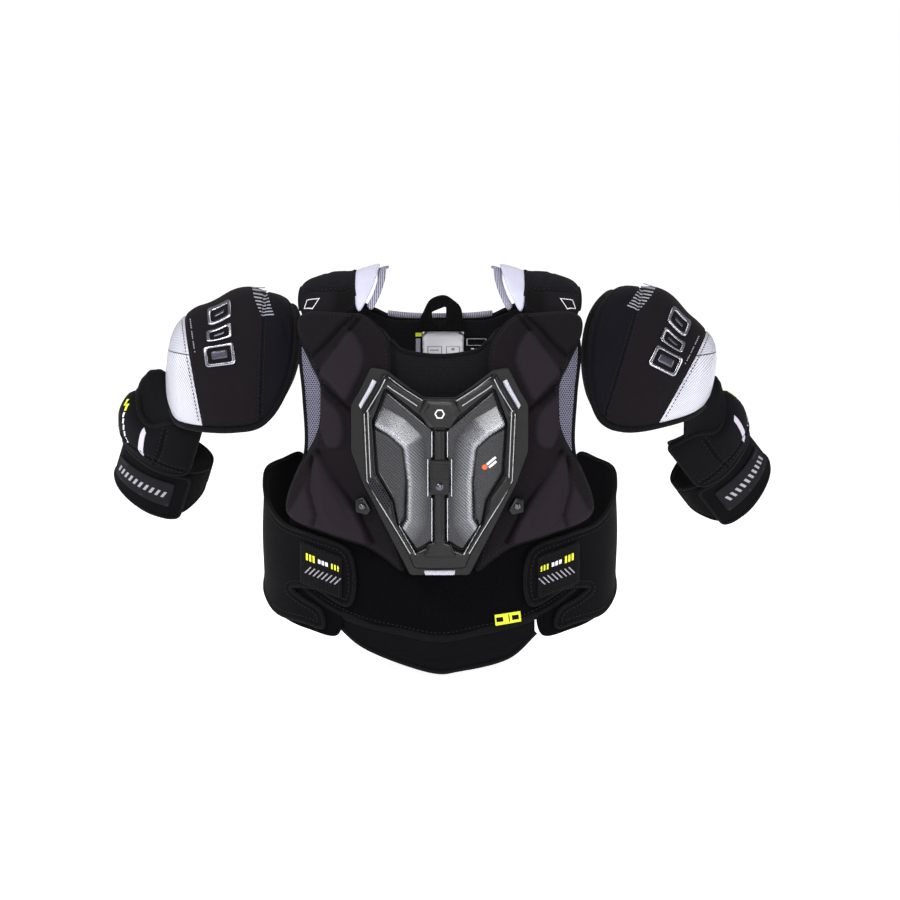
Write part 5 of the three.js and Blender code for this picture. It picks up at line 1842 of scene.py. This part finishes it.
def within_ring(line, ring, margin):
    """The points of a line that lie inside the ring and clear of its edge."""
    return line[inside(line, ring) & (distance(line, ring, True) > margin)]


def guard_bulge(p):
    """The guard's padding stands out most at the outer side, above the middle."""
    bearing = np.degrees(p[:, 0] / ARM_ARC)
    return 6.5 * np.exp(-((bearing - 6) / 48) ** 2 - ((p[:, 1] + 20) / 22) ** 2)


def build_guard(side, body, place):
    ring = arm_outline(GUARD_TOP, GUARD_END, 2.8, 9)
    name = f"guard_cloth_{side}"
    seams = [dense([round_arm(b, -12), round_arm(b + 3, 30), round_arm(b - 4, 64)], 2.5, closed=False)
             for b in (-52, 78)]
    across = dense([round_arm(b, 43 - 4 * math.cos(math.radians(b))) for b in range(-90, 116, 6)], 2.5,
                   closed=False)
    lines = [within_ring(line, ring, 3.5) for line in (*seams, across)]
    grooves = [channel(line, 2.0, 2.2) for line in lines]
    cloth = pad(name, ring, place, 54.6, 45.4, BLACK, step=2.8, reach=14, edge_at=0.3, puff=2.0,
                features=[*grooves, guard_bulge], lines=lines, body=body)
    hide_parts(f"bicep_guard_{side}")
    tape = tape_on(f"guard_binding_{side}", place, ring, 48.2, oval(5.5, 6.5, 10), BINDING, closed=True,
                   body=body)
    level = height_of(name)
    rows = []
    for k, seam in enumerate(lines):
        for shift in (-2.4, 2.4):
            moved = seam + ([shift, 0] if k < 2 else [0, shift])
            moved = within_ring(moved, ring, 3.0)
            rows.append(surface_line(place, moved, level(moved[:, 0], moved[:, 1]) + 0.15))
    stitches(f"guard_stitches_{side}", rows, THREAD, body)
    build_guard_prints(side, body, place, level)


def build_guard_prints(side, body, place, level):
    """A white chevron, and plain lime and white bars where the maker's wording was."""
    turn = GUARD_TWIST[side]
    at = lambda bearing, down: round_arm(bearing + turn, down)
    chevron = [[at(54, 14), at(60, 17), at(64, 43), at(57, 41)]]
    decal(f"guard_line_{side}", chevron, place, level, SOFT_WHITE, body, 0.3)
    lime = [bar(*at(15 + 6 * k, 6 + 2.5 * k), 2.6, 7, 40, 0.3) for k in range(2)]
    decal(f"guard_lime_{side}", lime, place, level, LIME, body, 0.3)
    white = [bar(*at(24 + 3.4 * k, 16 + 5.5 * k), 2.2, 5, 30, 0.3) for k in range(5)]
    decal(f"guard_white_{side}", white, place, level, WHITE, body, 0.3)


GUARD_TWIST = {"right": 0, "left": -20}


def gusset_edges(side, share):
    """Where the stretch gusset starts under the cap's rim and where it ends inside the guard's top."""
    bearing = np.radians(128 + 104 * share)
    high = cap_to_body(cap_local(bearing, cap_rim(bearing, side) - 0.03, np.full(share.shape, -8.0)), side)
    turn = 104 - 200 * share
    down = np.interp(turn, [b for b, _ in GUARD_TOP], [d for _, d in GUARD_TOP]) + 9
    a = np.radians(turn)
    low = arm_to_body(np.stack([49 * np.cos(a), -49 * np.sin(a) * ARM_SQUASH, -down], axis=-1), side)
    return high, low


def gusset(side):
    """A map of the gusset: u runs round the arm, v from the cap (0) to the guard (1)."""
    sign = SIDES[side]["sign"]

    def place(u, v, off):
        share, t, off = np.broadcast_arrays(np.asarray(u, float), np.asarray(v, float),
                                            np.asarray(off, float))
        high, low = gusset_edges(side, share)
        rise = (np.sin(math.pi * np.clip(share, 0, 1)) ** 0.7)[..., None]
        middle = (high + low) / 2 + rise * np.array([GUSSET_OUT * sign, 0, GUSSET_UP])
        t = t[..., None]
        spot = (1 - t) ** 2 * high + 2 * t * (1 - t) * middle + t**2 * low
        core = (high + low) / 2 - np.array([0, 0, 30.0])
        away = spot - core
        return spot + away / np.linalg.norm(away, axis=-1, keepdims=True) * off[..., None]

    return place


GUSSET_OUT, GUSSET_UP = 9.0, 36.0


def build_gusset(side):
    """The stretch cloth that closes the gap between cap and guard."""
    place = gusset(side)
    columns, rows = 56, 18
    share, t = np.meshgrid(np.linspace(0, 1, columns), np.linspace(0, 1, rows))
    ribs = 0.5 * np.sin(t * 26)
    verts = [place(share, t, off + (ribs if off else 0)).reshape(-1, 3) for off in (2.4, 0.0)]
    faces = []
    count = columns * rows
    for r in range(rows - 1):
        for c in range(columns - 1):
            a = r * columns + c
            faces.append((a, a + 1, a + columns + 1, a + columns))
            faces.append((count + a + columns, count + a + columns + 1, count + a + 1, count + a))
    rim = [c for c in range(columns)] + [r * columns + columns - 1 for r in range(1, rows)]
    rim += [(rows - 1) * columns + c for c in range(columns - 2, -1, -1)] + [r * columns
                                                                             for r in range(rows - 2, 0, -1)]
    for a, b in zip(rim, rim[1:] + rim[:1]):
        faces.append((b, a, a + count, b + count))
    fab = np.stack([share * 190, t * 60], axis=-1).reshape(-1, 2)
    cloth = mesh_object(f"arm_gusset_{side}", np.concatenate(verts), faces, BLACK, np.concatenate([fab, fab]))
    half = np.array([0.5])
    start, end = place(half, np.array([0.05]), 0)[0] * MM, place(half, np.array([0.95]), 0)[0] * MM
    tuple(start)
    tuple(end)
    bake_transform(cloth)


def build_flap(side, place):
    body = f"{side}_bicep_flap"
    ring = arm_outline(FLAP_TOP, FLAP_END, 3, 7)
    name = f"flap_cloth_{side}"
    cloth = pad(name, ring, place, 48.6, 45.4, NEOPRENE, step=4, reach=3, body=body)
    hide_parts(f"bicep_flap_{side}")
    tape = tape_on(f"flap_binding_{side}", place, ring, 47.2, oval(4.4, 4.6, 8), BINDING, closed=True,
                   body=body)
    patch_ring = dense(rounded([round_arm(*corner) for corner in PATCH_CORNERS], 3), 2.5)
    patch = pad(f"patch_rubber_{side}", patch_ring, place, 51, 48.8, RUBBER, step=3, rims=(0.5, 1.1),
                reach=1.5,
                features=[ridge_line(inset_line(patch_ring, 2.0), 0.8, 0.7, True)], body=body)
    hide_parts(f"bicep_patch_{side}")
    row = [bar(*round_arm(33 + 7.2 * k, 74 + 0.35 * k), 2.6, 6.6, 0, 0.35) for k in range(10)]
    decal(f"patch_dashes_{side}", row, place, 50.9, GREY, body, 0.3)


# ---------------------------------------------------------------- the whole object

def build_all():
    build_front_liner()
    build_chest_pads()
    build_sternum()
    build_belly()
    build_straps()
    build_back()
    build_labels()
    build_collar()
    build_hang_loop()
    build_shoulders()
    for side in SIDES:
        build_cap(side)
        build_arm(side)


# ---------------------------------------------------------------- camera, light and floor

VIEW_WIDTH, VIEW_DISTANCE, VIEW_RISE = 0.9, 4.2, 5.0
VIEW_CENTRE = Vector((0.010, 0.0, -0.160))


def add_camera():
    data = bpy.data.cameras.new("camera")
    camera = bpy.data.objects.new("camera", data)
    bpy.context.scene.collection.objects.link(camera)
    rise = math.radians(VIEW_RISE)
    away = Vector((0, -math.cos(rise), math.sin(rise)))
    camera.location = VIEW_CENTRE + away * VIEW_DISTANCE
    camera.rotation_mode = "QUATERNION"
    camera.rotation_quaternion = (-away).to_track_quat("-Z", "Y")
    data.sensor_width = 36
    data.lens = 36 * VIEW_DISTANCE / VIEW_WIDTH
    data.clip_end = 60
    bpy.context.scene.camera = camera


def add_light(name, place, size, power, tone=(1, 1, 1)):
    data = bpy.data.lights.new(name, "AREA")
    data.shape = "RECTANGLE"
    data.size, data.size_y = size
    data.energy = power
    data.color = tone
    light = bpy.data.objects.new(name, data)
    bpy.context.scene.collection.objects.link(light)
    light.location = place
    light.rotation_mode = "QUATERNION"
    light.rotation_quaternion = (VIEW_CENTRE - Vector(place)).to_track_quat("-Z", "Y")


def add_studio():
    world = bpy.data.worlds.new("studio")
    world.use_nodes = True
    tree = world.node_tree
    soft_light = tree.nodes["Background"]
    soft_light.inputs["Color"].default_value = (1, 1, 1, 1)
    soft_light.inputs["Strength"].default_value = 0.3
    backdrop = tree.nodes.new("ShaderNodeBackground")
    backdrop.inputs["Color"].default_value = (1, 1, 1, 1)
    seen = tree.nodes.new("ShaderNodeLightPath")
    mix = tree.nodes.new("ShaderNodeMixShader")
    tree.links.new(seen.outputs["Is Camera Ray"], mix.inputs[0])
    tree.links.new(soft_light.outputs[0], mix.inputs[1])
    tree.links.new(backdrop.outputs[0], mix.inputs[2])
    tree.links.new(mix.outputs[0], tree.nodes["World Output"].inputs["Surface"])
    bpy.context.scene.world = world
    bpy.context.scene.view_settings.view_transform = "Standard"
    add_light("key", (-1.1, -1.2, 1.5), (0.7, 0.5), 30)
    add_light("front", (0.3, -2.9, 0.5), (0.8, 0.5), 30)
    add_light("side", (1.7, -0.7, 0.4), (0.4, 1.4), 13)
    add_light("left_rim", (-1.9, -0.1, 0.2), (0.4, 1.4), 10)
    add_light("top", (0.1, 0.5, 1.7), (1.4, 0.5), 9)
    low = CAD_BOUNDS[0].z - 0.004
    size = 12.0
    corners = [(-size, -size, low), (size, -size, low), (size, size, low), (-size, size, low)]
    floor = mesh_object("floor", np.array(corners) / MM, [(0, 1, 2, 3)], floor_finish())


build_all()
add_camera()
add_studio()
